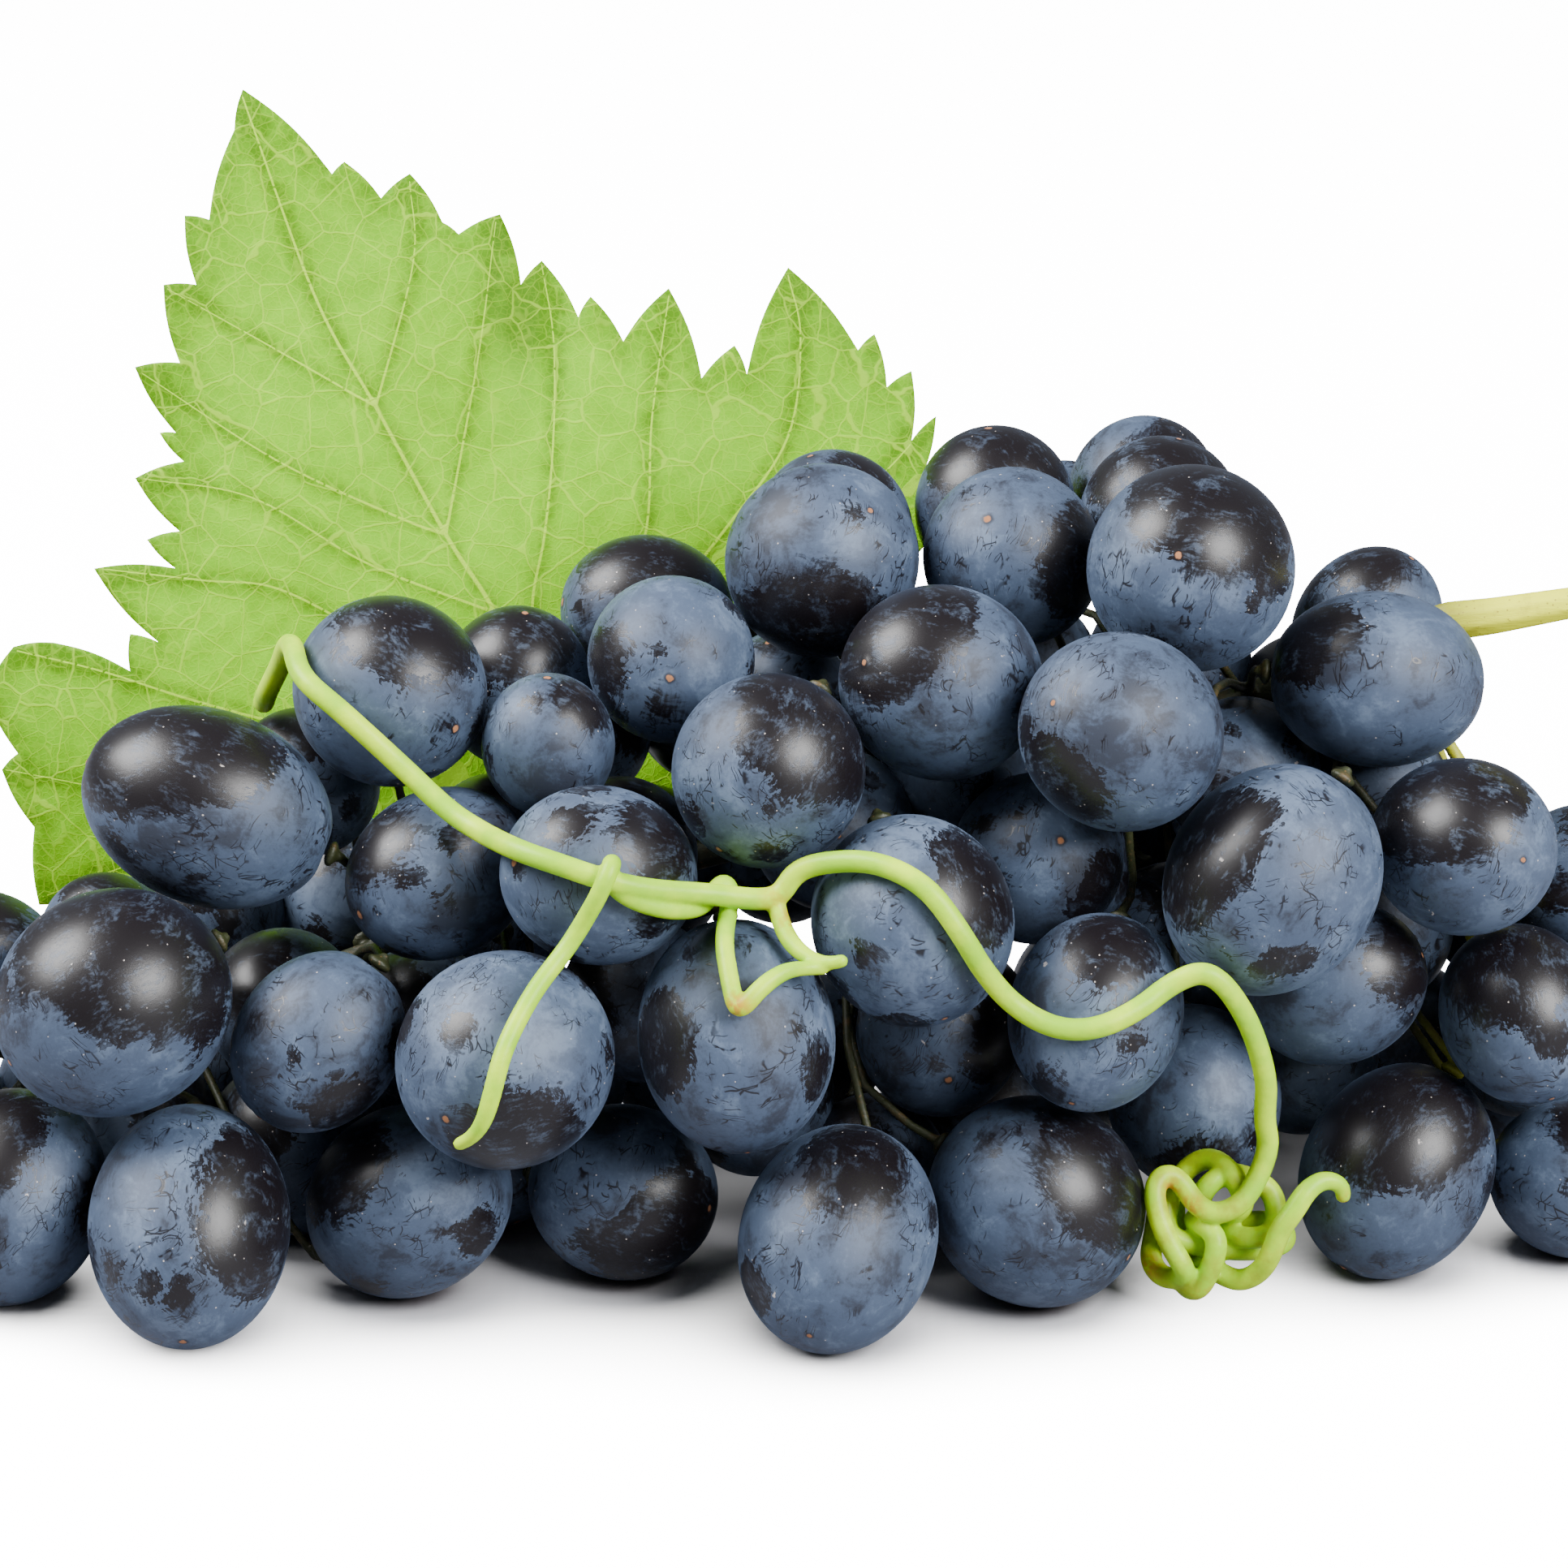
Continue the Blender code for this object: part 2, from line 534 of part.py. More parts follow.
def keep(mesh, name, home, look):
    """Put a finished mesh in the part's collection as one named node."""
    mesh.name = name
    mesh.materials.clear()
    mesh.materials.append(look)
    node = bpy.data.objects.new(name, mesh)
    home.objects.link(node)
    return node


def material(name, colour, roughness, **values):
    """A Principled material with the given base colour."""
    made = bpy.data.materials.new(name)
    made.use_nodes = True
    shader = made.node_tree.nodes["Principled BSDF"]
    shader.inputs["Base Color"].default_value = (*colour, 1)
    shader.inputs["Roughness"].default_value = roughness
    for socket, value in values.items():
        shader.inputs[socket.replace("_", " ")].default_value = value
    made.diffuse_color = (*colour, 1)
    return made


def tube(points, radii, sides=2):
    """A capped round tube along a line, as a mesh."""
    curve = bpy.data.curves.new("tube", "CURVE")
    curve.dimensions = "3D"
    curve.bevel_depth = MM
    curve.bevel_resolution = sides
    curve.use_fill_caps = True
    spline = curve.splines.new("POLY")
    spline.points.add(len(points) - 1)
    for knot, place, radius in zip(spline.points, points, radii):
        knot.co = (*(place * MM), 1)
        knot.radius = radius
    guide = bpy.data.objects.new("tube", curve)
    bpy.context.scene.collection.objects.link(guide)
    mesh = bpy.data.meshes.new_from_object(guide.evaluated_get(bpy.context.evaluated_depsgraph_get()))
    bpy.data.objects.remove(guide)
    weld(mesh)
    return mesh


def weld(mesh):
    work = bmesh.new()
    work.from_mesh(mesh)
    bmesh.ops.remove_doubles(work, verts=work.verts, dist=1e-6)
    bmesh.ops.recalc_face_normals(work, faces=work.faces)
    work.to_mesh(mesh)
    work.free()


def joined(meshes):
    """One closed mesh: the exact union of several."""
    cutters = bpy.data.collections.new("joining")
    bpy.context.scene.collection.children.link(cutters)
    for mesh in meshes[1:]:
        cutters.objects.link(bpy.data.objects.new("piece", mesh))
    base = bpy.data.objects.new("base", meshes[0])
    bpy.context.scene.collection.objects.link(base)
    union = base.modifiers.new("union", "BOOLEAN")
    union.operation = "UNION"
    union.solver = "EXACT"
    union.operand_type = "COLLECTION"
    union.collection = cutters
    union.use_self = True
    mesh = bpy.data.meshes.new_from_object(base.evaluated_get(bpy.context.evaluated_depsgraph_get()))
    for thing in [base, *cutters.objects]:
        bpy.data.objects.remove(thing)
    bpy.data.collections.remove(cutters)
    work = bmesh.new()
    work.from_mesh(mesh)
    bmesh.ops.remove_doubles(work, verts=work.verts, dist=2e-5)
    bmesh.ops.dissolve_degenerate(work, edges=work.edges, dist=1e-5)
    bmesh.ops.triangulate(work, faces=work.faces)
    bmesh.ops.recalc_face_normals(work, faces=work.faces)
    work.to_mesh(mesh)
    work.free()
    return mesh


def berry_mesh(centre, girth, length, axis, facets):
    """A berry: a round ball stretched along its axis."""
    work = bmesh.new()
    bmesh.ops.create_uvsphere(work, u_segments=facets[0], v_segments=facets[1], radius=0.5 * MM)
    turn = Vector(axis).to_track_quat("Z", "Y").to_matrix().to_4x4()
    place = Matrix.Translation(Vector(centre) * MM) @ turn @ Matrix.Diagonal((girth, girth, length, 1))
    bmesh.ops.transform(work, matrix=place, verts=work.verts)
    mesh = bpy.data.meshes.new("berry")
    work.to_mesh(mesh)
    work.free()
    return mesh


def leaf_sag(u, v):
    """How far the blade curls back at a place on it."""
    curl = 0.0011 * (u * u + (v - 20) ** 2)
    ripple = 0.7 * math.sin(u / 6.5) * math.sin(v / 8 + 1)
    fold = 2.5 * math.exp(-((u + 0.5) ** 2) / 18 - (v - 52) ** 2 / 260)
    return curl + ripple + fold


def leaf_blade():
    """The leaf's blade: its toothed outline filled, curled and thickened."""
    outline = [Vector(p) for p in LEAF_OUTLINE]
    grid = [
        Vector((u * LEAF_GRID + (v % 2) * LEAF_GRID / 2, v * LEAF_GRID * 0.87))
        for u in range(-8, 6)
        for v in range(-4, 9)
    ]
    inside = [p for p in grid if is_inside(p, outline) and min((p - q).length for q in outline) > 3.2]
    n = len(outline)
    edges = [(k, (k + 1) % n) for k in range(n)]
    flat, _, faces, *_ = delaunay_2d_cdt(outline + inside, edges, [list(range(n))], 1, 1e-5)
    right, up, back = leaf_plane()
    foot = np.array(LEAF_FOOT, float)
    spots = [(foot + p.x * right + p.y * up + leaf_sag(p.x, p.y) * back) * MM for p in flat]
    mesh = bpy.data.meshes.new("blade")
    mesh.from_pydata(spots, [], [list(face) for face in faces])
    sheet = bpy.data.objects.new("blade", mesh)
    bpy.context.scene.collection.objects.link(sheet)
    thick = sheet.modifiers.new("thick", "SOLIDIFY")
    thick.thickness = LEAF_THICK * MM
    thick.offset = 0
    solid = bpy.data.meshes.new_from_object(sheet.evaluated_get(bpy.context.evaluated_depsgraph_get()))
    bpy.data.objects.remove(sheet)
    weld(solid)
    return solid


def is_inside(point, outline):
    crossings = 0
    for a, b in zip(outline, outline[1:] + outline[:1]):
        if (a.y > point.y) != (b.y > point.y):
            crossings += point.x < a.x + (point.y - a.y) / (b.y - a.y) * (b.x - a.x)
    return crossings % 2 == 1


def centre_on_table(home):
    """Move every node so the whole part stands on Z = 0, centred over the origin."""
    corners = np.array([v.co[:] for node in home.objects for v in node.data.vertices])
    low, high = corners.min(0), corners.max(0)
    away = Vector((-(low[0] + high[0]) / 2, -(low[1] + high[1]) / 2, -low[2]))
    for node in home.objects:
        node.data.transform(Matrix.Translation(away))


def build():
    clear_scene()
    home = bpy.data.collections.new("bunch_of_grapes")
    bpy.context.scene.collection.children.link(home)
    skin = material("berry_skin", (0.020, 0.028, 0.060), 0.42)
    green = material("stalk_green", (0.36, 0.42, 0.07), 0.55)
    blade = material("leaf_green", (0.34, 0.62, 0.03), 0.5)
    vine = material("tendril_green", (0.60, 0.72, 0.06), 0.45)

    bunch = Bunch().settle()
    strands = [(TENDRIL, TENDRIL_RADIUS)] + [(rows, 0.95) for rows in TENDRIL_FORKS.values()]
    lines = [lay(bunch, smooth_line(from_front(rows), 2.5), radius) for rows, radius in strands]
    radii = [np.full(len(line), radius) for line, (_, radius) in zip(lines, strands)]
    for ends in radii:
        ends[-1] *= 0.6
    keep(joined([tube(line, ends, 1) for line, ends in zip(lines, radii)]), "tendril", home, vine)

    groups = {}
    for k, name in enumerate(bunch.names):
        facets = BERRY_FACETS if name.startswith("berry_") else CHAIN_FACETS
        mesh = berry_mesh(bunch.centre[k], bunch.girth[k], bunch.length[k], bunch.axis[k], facets)
        groups.setdefault(name, []).append(mesh)
    for name, meshes in groups.items():
        keep(joined(meshes) if len(meshes) > 1 else meshes[0], name, home, skin)

    petiole = smooth_line(np.array(PETIOLE, float), 4)
    keep(joined([leaf_blade(), tube(petiole, np.full(len(petiole), PETIOLE_RADIUS))]), "leaf", home, blade)

    rachis = np.array(RACHIS, float)
    main_line = smooth_line(rachis[:, :3], 5)
    widths = np.interp(main_line[:, 0], rachis[:, 0], rachis[:, 3])
    stalks = [tube(main_line, widths, 2)]
    stalks += [tube(points, widths, 1) for points, widths in Routes(bunch, lines).grow()]
    keep(joined(stalks), "stem", home, green)
    centre_on_table(home)


build()
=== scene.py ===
import math

import bmesh
import bpy
import numpy as np
from mathutils import Matrix, Vector
from mathutils.geometry import delaunay_2d_cdt
from mathutils.kdtree import KDTree


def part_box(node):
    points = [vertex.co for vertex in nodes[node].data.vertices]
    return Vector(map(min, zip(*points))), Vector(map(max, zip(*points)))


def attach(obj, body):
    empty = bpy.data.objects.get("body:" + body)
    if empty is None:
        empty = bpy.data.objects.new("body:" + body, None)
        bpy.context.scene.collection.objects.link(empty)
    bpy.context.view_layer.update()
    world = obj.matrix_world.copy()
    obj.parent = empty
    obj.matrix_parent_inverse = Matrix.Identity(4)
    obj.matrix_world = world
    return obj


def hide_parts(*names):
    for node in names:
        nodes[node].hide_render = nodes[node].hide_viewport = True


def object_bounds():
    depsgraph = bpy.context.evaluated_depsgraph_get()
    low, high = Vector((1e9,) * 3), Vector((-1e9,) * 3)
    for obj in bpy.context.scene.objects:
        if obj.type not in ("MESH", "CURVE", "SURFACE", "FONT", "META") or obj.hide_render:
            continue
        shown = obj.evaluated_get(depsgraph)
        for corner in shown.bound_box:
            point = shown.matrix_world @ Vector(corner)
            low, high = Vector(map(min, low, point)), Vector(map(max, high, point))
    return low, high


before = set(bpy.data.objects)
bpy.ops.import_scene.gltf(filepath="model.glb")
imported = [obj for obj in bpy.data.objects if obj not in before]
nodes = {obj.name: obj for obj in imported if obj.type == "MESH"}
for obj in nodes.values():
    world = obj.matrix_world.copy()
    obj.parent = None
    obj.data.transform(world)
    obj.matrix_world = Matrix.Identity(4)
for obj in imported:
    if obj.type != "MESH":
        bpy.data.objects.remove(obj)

mm = 0.001
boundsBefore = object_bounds()


def meshPoints(mesh):
    points = np.empty(len(mesh.vertices) * 3, np.float32)
    mesh.vertices.foreach_get("co", points)
    return points.reshape(-1, 3).astype(float)


def nodePoints(name):
    return meshPoints(nodes[name].data)


def makeObject(name, mesh, material, slot, *replaced):
    points = np.clip(meshPoints(mesh), *boundsBefore)  # no piece leaves the CAD box
    mesh.vertices.foreach_set("co", points.astype(np.float32).ravel())
    mesh.update()
    mesh.materials.clear()
    mesh.materials.append(material)
    piece = bpy.data.objects.new(name, mesh)
    bpy.context.scene.collection.objects.link(piece)
    mesh.shade_smooth()
    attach(piece, "root")
    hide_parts(*replaced)
    return piece


# a mesh with named point attributes: one number or three for each point
def gridMesh(name, points, faces, attributes):
    mesh = bpy.data.meshes.new(name)
    mesh.from_pydata(points.tolist(), [], faces)
    addAttributes(mesh, attributes)
    return mesh


def addAttributes(mesh, attributes):
    for label, values in attributes.items():
        values = np.asarray(values, np.float32)
        kind = "FLOAT_VECTOR" if values.ndim == 2 else "FLOAT"
        layer = mesh.attributes.new(label, kind, "POINT")
        layer.data.foreach_set("vector" if values.ndim == 2 else "value", values.ravel())


def smoothStep(low, high, value):
    t = np.clip((value - low) / (high - low), 0, 1)
    return t * t * (3 - 2 * t)


# builds a node tree in few words
class Nodes:
    def __init__(self, tree):
        self.tree = tree

    def add(self, kind, inputs=None, **settings):
        node = self.tree.nodes.new(kind)
        for key, value in settings.items():
            setattr(node, key, value)
        for key, value in (inputs or {}).items():
            self.put(node.inputs[key], value)
        return node

    def put(self, socket, value):
        if isinstance(value, bpy.types.NodeSocket):
            self.tree.links.new(value, socket)
        else:
            socket.default_value = value

    def attribute(self, name, output="Fac"):
        return self.add("ShaderNodeAttribute", attribute_name=name).outputs[output]

    def math(self, operation, a, b=0.0, c=0.0, clamp=False):
        node = self.add("ShaderNodeMath", operation=operation, use_clamp=clamp)
        for socket, value in zip(node.inputs, (a, b, c)):
            self.put(socket, value)
        return node.outputs[0]

    def ramp(self, value, low, high, toLow=0.0, toHigh=1.0, smooth=True):
        kind = "SMOOTHSTEP" if smooth else "LINEAR"
        inputs = {"Value": value, "From Min": low, "From Max": high, "To Min": toLow, "To Max": toHigh}
        return self.add("ShaderNodeMapRange", inputs, interpolation_type=kind).outputs["Result"]

    def mix(self, factor, a, b, blend="MIX"):
        node = self.add("ShaderNodeMix", data_type="RGBA", blend_type=blend)
        for index, value in ((0, factor), (6, a), (7, b)):
            self.put(node.inputs[index], value)
        return node.outputs[2]

    def noise(self, place, scale, detail=3.0, roughness=0.55, distortion=0.0):
        inputs = {"Vector": place, "Scale": scale, "Detail": detail, "Roughness": roughness,
                  "Distortion": distortion}
        return self.add("ShaderNodeTexNoise", inputs).outputs["Fac"]

    def stretched(self, place, scale, turn=(0.0, 0.0, 0.0)):
        inputs = {"Vector": place, "Scale": scale, "Rotation": turn}
        return self.add("ShaderNodeMapping", inputs, vector_type="POINT").outputs["Vector"]

    def voronoi(self, place, scale, feature="F1", randomness=1.0, output="Distance"):
        inputs = {"Vector": place, "Scale": scale, "Randomness": randomness}
        return self.add("ShaderNodeTexVoronoi", inputs, feature=feature).outputs[output]

    # the place pushed about by coloured noise
    def warp(self, place, scale, amount):
        inputs = {"Vector": place, "Scale": scale, "Detail": 2.0}
        colour = self.add("ShaderNodeTexNoise", inputs).outputs["Color"]
        centred = self.add("ShaderNodeVectorMath", {0: colour, 1: (0.5, 0.5, 0.5)}, operation="SUBTRACT")
        scaled = self.add("ShaderNodeVectorMath", {0: centred.outputs[0], "Scale": amount}, operation="SCALE")
        return self.add("ShaderNodeVectorMath", {0: place, 1: scaled.outputs[0]}, operation="ADD").outputs[0]


def newMaterial(name):
    material = bpy.data.materials.new(name)
    material.use_nodes = True
    return material, Nodes(material.node_tree), material.node_tree.nodes["Principled BSDF"]


# a node group with the given input and output sockets
def newGroup(name, inputs, outputs):
    tree = bpy.data.node_groups.new(name, "ShaderNodeTree")
    for label, kind in inputs.items():
        tree.interface.new_socket(label, in_out="INPUT", socket_type=kind)
    for label, kind in outputs.items():
        tree.interface.new_socket(label, in_out="OUTPUT", socket_type=kind)
    make = Nodes(tree)
    return tree, make, make.add("NodeGroupInput").outputs, make.add("NodeGroupOutput").inputs


lean = math.radians(20)
rightWay = np.array([1.0, 0, 0])
upWay = np.array([0, math.sin(lean), math.cos(lean)])
backWay = np.array([0, math.cos(lean), -math.sin(lean)])

leafOutline = np.array([
    (-37, 77.5), (-26, 67), (-24.5, 68.5), (-20, 64), (-16.5, 67), (-12.5, 61), (-10.5, 59.5), (-5.5, 62),
    (-3, 53.5), (-0.5, 56.5), (4, 49.5), (5.5, 52), (9.5, 46.5), (15, 53), (19, 42), (23, 46),
    (24.5, 42.5), (29.5, 55.5), (38, 45.5), (40, 47.5), (41.5, 41), (44.5, 43), (44.5, 34.5), (47.5, 37.5),
    (45.5, 29.5), (48.5, 25.5), (44, 19.5), (45, 13.5), (39.5, 10), (38.5, 4), (32.5, 3), (28.5, -3),
    (22.5, -2.5), (17.5, -8), (9, -7.5), (3, -2), (-3, -2), (-7, -11), (-14.5, -17.5), (-18.5, -22.5),
    (-23.5, -20), (-28, -25), (-33.5, -21.5), (-39.5, -25.5), (-44.5, -22), (-51, -25.5), (-54.5, -20.5),
    (-62, -22), (-62.5, -12.5), (-66.5, -5.5), (-64.5, -3.5), (-68.5, 4), (-65, 9.5), (-60, 10),
    (-50.5, 6.5), (-50.5, 11), (-47, 10), (-55, 19), (-45, 19), (-48.5, 22.5), (-44.5, 23.5), (-50, 30),
    (-44, 32), (-47, 35.5), (-45, 35.5), (-50, 43.5), (-44.5, 44), (-46.5, 53.5), (-42.5, 53.5),
    (-44, 62), (-41, 61.5), (-38, 72.5),
])
leafFoot = np.array([-29.0, 39, 43])


def leafSag(u, v):
    curl = 0.0011 * (u * u + (v - 20) ** 2)
    ripple = 0.7 * np.sin(u / 6.5) * np.sin(v / 8 + 1)
    fold = 2.5 * np.exp(-((u + 0.5) ** 2) / 18 - (v - 52) ** 2 / 260)
    return curl + ripple + fold


# a place on the blade in design millimetres
def leafPoint(u, v, back=0.0):
    u, v = np.asarray(u, float)[..., None], np.asarray(v, float)[..., None]
    return leafFoot + u * rightWay + v * upWay + (leafSag(u, v) + np.asarray(back)[..., None]) * backWay


outlinePlaces = leafPoint(leafOutline[:, 0], leafOutline[:, 1])
leafLow, leafHigh = (np.array(corner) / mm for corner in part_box("leaf"))
shift = np.array([
    (leafLow[0] + leafHigh[0]) / 2 - (outlinePlaces[:, 0].min() + outlinePlaces[:, 0].max()) / 2,
    leafHigh[1] - outlinePlaces[:, 1].max(),
    leafHigh[2] - outlinePlaces[:, 2].max(),
])
print("shift", shift.round(2).tolist())

berryLook = {
    "segments": 60,  # round the girth
    "rings": 44,  # from stalk to tip
    "taper": 0.02,  # how much slimmer the tip end is
    "lumps": 0.007,  # how uneven the skin is, as a share of the radius
    "dimpleDepth": 0.5,  # mm, where the stalk enters
    "scarRadius": 0.5,  # mm, the dry scar at the tip
    "scarHeight": 0.2,  # mm
    "skinColour": (0.0045, 0.0030, 0.0040, 1),
    "thinBloomColour": (0.018, 0.023, 0.037, 1),
    "bloomColour": (0.044, 0.064, 0.106, 1),
    "thickBloomColour": (0.085, 0.118, 0.178, 1),
    "scarColour": (0.30, 0.13, 0.06, 1),
    "speckColour": (0.50, 0.45, 0.42, 1),
    "skinRoughness": 0.36,
    "bloomRoughness": 0.56,
}
# berries whose bloom was rubbed off most where they were handled:
# how much of the front is bare, and in which direction, from 0 up through 90 right to 180 down
rubbed = {
    "berry_01": (0.6, -30), "berry_02": (0.45, 75), "berry_03": (0.3, -60), "berry_04": (0.6, 140),
    "berry_05": (0.35, 10), "berry_06": (0.6, 60), "berry_07": (0.3, 180), "berry_08": (0.8, 0),
    "berry_09": (0.5, 30), "berry_10": (0.5, 0), "berry_11": (0.85, 20), "berry_12": (0.4, 0),
    "berry_13": (0.25, 150), "berry_14": (0.4, 170), "berry_15": (0.25, -95), "berry_16": (0.4, 90),
    "berry_17": (0.3, 10), "berry_18": (0.4, 70), "berry_19": (0.65, -20), "berry_20": (0.75, -20),
    "berry_21": (0.5, 0), "berry_22": (0.3, -60), "berry_23": (0.25, 60), "berry_24": (0.3, 60),
    "berry_25": (0.3, 120), "berry_26": (0.35, -70), "berry_27": (0.7, -30), "berry_28": (0.4, 20),
    "berry_29": (0.55, 20), "berry_30": (0.6, 0), "berry_31": (0.3, 40), "berry_32": (0.2, -90),
    "berry_33": (0.6, 0), "berry_34": (0.7, 45), "berry_35": (0.65, -40), "berry_36": (0.3, -130),
    "berry_37": (0.3, -60), "berry_38": (0.3, 0), "berry_39": (0.55, 190), "berry_40": (0.4, 95),
    "berry_41": (0.65, 20), "berry_43": (0.75, 0), "berry_45": (0.6, 30),
}


# the centre, half girth, half length and long axis of the ellipsoid through some points
def fitBerry(points):
    middle = points.mean(0)
    x, y, z = ((points - middle) / mm).T
    rows = np.stack([x * x, y * y, z * z, 2 * x * y, 2 * x * z, 2 * y * z, 2 * x, 2 * y, 2 * z], 1)
    s = np.linalg.lstsq(rows, np.ones(len(x)), rcond=None)[0]
    form = np.array([[s[0], s[3], s[4]], [s[3], s[1], s[5]], [s[4], s[5], s[2]]])
    centre = -np.linalg.solve(form, s[6:9])
    values, ways = np.linalg.eigh(form / (1 + centre @ form @ centre))
    halves = 1 / np.sqrt(values)
    return middle / mm + centre, (halves[1] + halves[2]) / 2, halves[0], ways[:, 0]


# the points of each berry of a chain: the mesh parted along its inward creases
def lobes(name):
    work = bmesh.new()
    work.from_mesh(nodes[name].data)
    bmesh.ops.remove_doubles(work, verts=work.verts, dist=1e-6)
    crease = {e for e in work.edges if len(e.link_faces) == 2 and not e.is_convex
              and e.calc_face_angle(0) > 0.15}
    onCrease = {v for e in crease for v in e.verts}
    seen, found = set(), []
    for first in work.faces:
        if first in seen:
            continue
        island, queue = set(), [first]
        seen.add(first)
        while queue:
            face = queue.pop()
            island.update(face.verts)
            for edge in face.edges:
                if edge in crease:
                    continue
                for other in edge.link_faces:
                    if other not in seen:
                        seen.add(other)
                        queue.append(other)
        clean = [v.co[:] for v in island if v not in onCrease]
        if len(clean) > 20:
            found.append(np.array(clean, float))
    work.free()
    return found


stalkTree = KDTree(len(nodePoints("stem")))
for index, place in enumerate(nodePoints("stem")):
    stalkTree.insert(place, index)
stalkTree.balance()

berries = []
for name in sorted(n for n in nodes if n.startswith("berr")):
    for cloud in lobes(name) if name.startswith("berries") else [nodePoints(name)]:
        centre, halfGirth, halfLength, axis = fitBerry(cloud)
        toPole = axis * halfLength
        near = [stalkTree.find((centre + sign * toPole) * mm)[2] for sign in (1, -1)]
        tip = axis if near[1] < near[0] else -axis
        berries.append({"node": name, "centre": centre, "halfGirth": halfGirth,
                        "halfLength": halfLength, "tip": tip, "seed": len(berries)})
print("berries", len(berries), "from", len({b["node"] for b in berries}), "nodes")


def berryFaces(segments, rings):
    faces = []
    for ring in range(rings - 2):
        for k in range(segments):
            a, b = ring * segments + k, ring * segments + (k + 1) % segments
            faces.append((a, b, b + segments, a + segments))
    low, high = segments * (rings - 1), segments * (rings - 1) + 1
    for k in range(segments):
        faces.append((low, (k + 1) % segments, k))
        last = (rings - 2) * segments
        faces.append((high, last + k, last + (k + 1) % segments))
    return faces


# how far inside a rubbed patch each place on a berry is, in mm: below zero the bloom is whole
def wornDepth(berry, way, basis, rng):
    front = basis @ -backWay
    up = basis @ upWay
    right = basis @ rightWay
    share, turn = rubbed.get(berry["node"], (rng.uniform(0.15, 0.7), rng.normal(0, 60)))
    turn = math.radians(turn)
    main = 0.55 * front + 0.75 * (math.cos(turn) * up + math.sin(turn) * right)
    patches = [(main, math.radians(14 + 62 * share))]
    for _ in range(rng.integers(9, 17)):
        patches.append((rng.normal(size=3), math.radians(3 + 13 * rng.uniform(0, 1) ** 2)))
    for other in berries:
        away = other["centre"] - berry["centre"]
        touching = other["halfGirth"] + berry["halfGirth"] + 1.5
        if other is not berry and np.linalg.norm(away) < touching:
            patches.append((basis @ away, math.radians(rng.uniform(10, 20))))
    worn = np.full(len(way), -9.0)
    for centre, size in patches:
        apart = np.arccos(np.clip(way @ (centre / np.linalg.norm(centre)), -1, 1))
        worn = np.maximum(worn, (size - apart) * berry["halfGirth"])
    return worn


# points, and what the skin needs to know at each of them
def berryShape(berry):
    look = berryLook
    segments, rings = look["segments"], look["rings"]
    rng = np.random.default_rng(1000 + berry["seed"])
    polar = np.linspace(0, np.pi, rings + 1)[1:-1]
    polar = polar - 0.14 * np.sin(2 * polar)  # rings crowd towards both ends
    spin = np.linspace(0, 2 * np.pi, segments, endpoint=False)
    p, s = np.meshgrid(polar, spin, indexing="ij")
    way = np.stack([np.sin(p) * np.cos(s), np.sin(p) * np.sin(s), -np.cos(p)], -1).reshape(-1, 3)
    way = np.vstack([way, (0, 0, -1), (0, 0, 1)])
    z = way[:, 2]
    lump = np.zeros(len(way))
    for _ in range(4):
        turn = rng.normal(size=3)
        turn /= np.linalg.norm(turn)
        lump += 0.25 * (0.5 + 0.5 * np.cos(rng.uniform(2, 4.5) * (way @ turn) + rng.uniform(0, 6)))
    g, l = berry["halfGirth"], berry["halfLength"]
    tipward = np.clip(0.5 + 0.5 * z, 0, 1)
    size = 1 - look["taper"] * rng.uniform(0.2, 1) * tipward**2 - look["lumps"] * lump
    local = way * size[:, None] * (g, g, l)
    fromTip = np.arccos(np.clip(z, -1, 1)) * g
    fromStalk = np.arccos(np.clip(-z, -1, 1)) * g
    local[:, 2] += look["dimpleDepth"] * np.exp(-(fromStalk / 2.0) ** 2) * (z < 0)
    local[:, 2] -= 0.16 * np.exp(-(fromTip / 1.6) ** 2) * (z > 0)
    local[:, 2] += look["scarHeight"] * np.exp(-(fromTip / look["scarRadius"]) ** 2) * (z > 0)
    frameX = np.cross(berry["tip"], (0.31, 0.52, 0.79))
    frameX /= np.linalg.norm(frameX)
    basis = np.stack([frameX, np.cross(berry["tip"], frameX), berry["tip"]])
    points = local @ basis + berry["centre"]
    offset = rng.uniform(-400, 400, 3)
    return points, {
        "skinPlace": way * g + offset,
        "skinWorn": wornDepth(berry, way, basis, rng),
        "skinTone": np.full(len(points), rng.uniform(-1, 1)),
        "fromTip": np.minimum(fromTip, 5) / (look["scarRadius"] * rng.uniform(0.7, 1.2)),
    }


# short fine lines scratched in one direction
def scratches(make, place, bent, turn, size):
    lying = make.stretched(bent, (size, size * 0.12, size * 0.6), turn)
    lines = make.voronoi(lying, 1.0, "DISTANCE_TO_EDGE")
    broken = make.ramp(make.noise(place, 0.6, 2.0), 0.46, 0.54)
    return make.math("MULTIPLY", make.ramp(lines, 0.010, 0.036, 1.0, 0.0), broken)


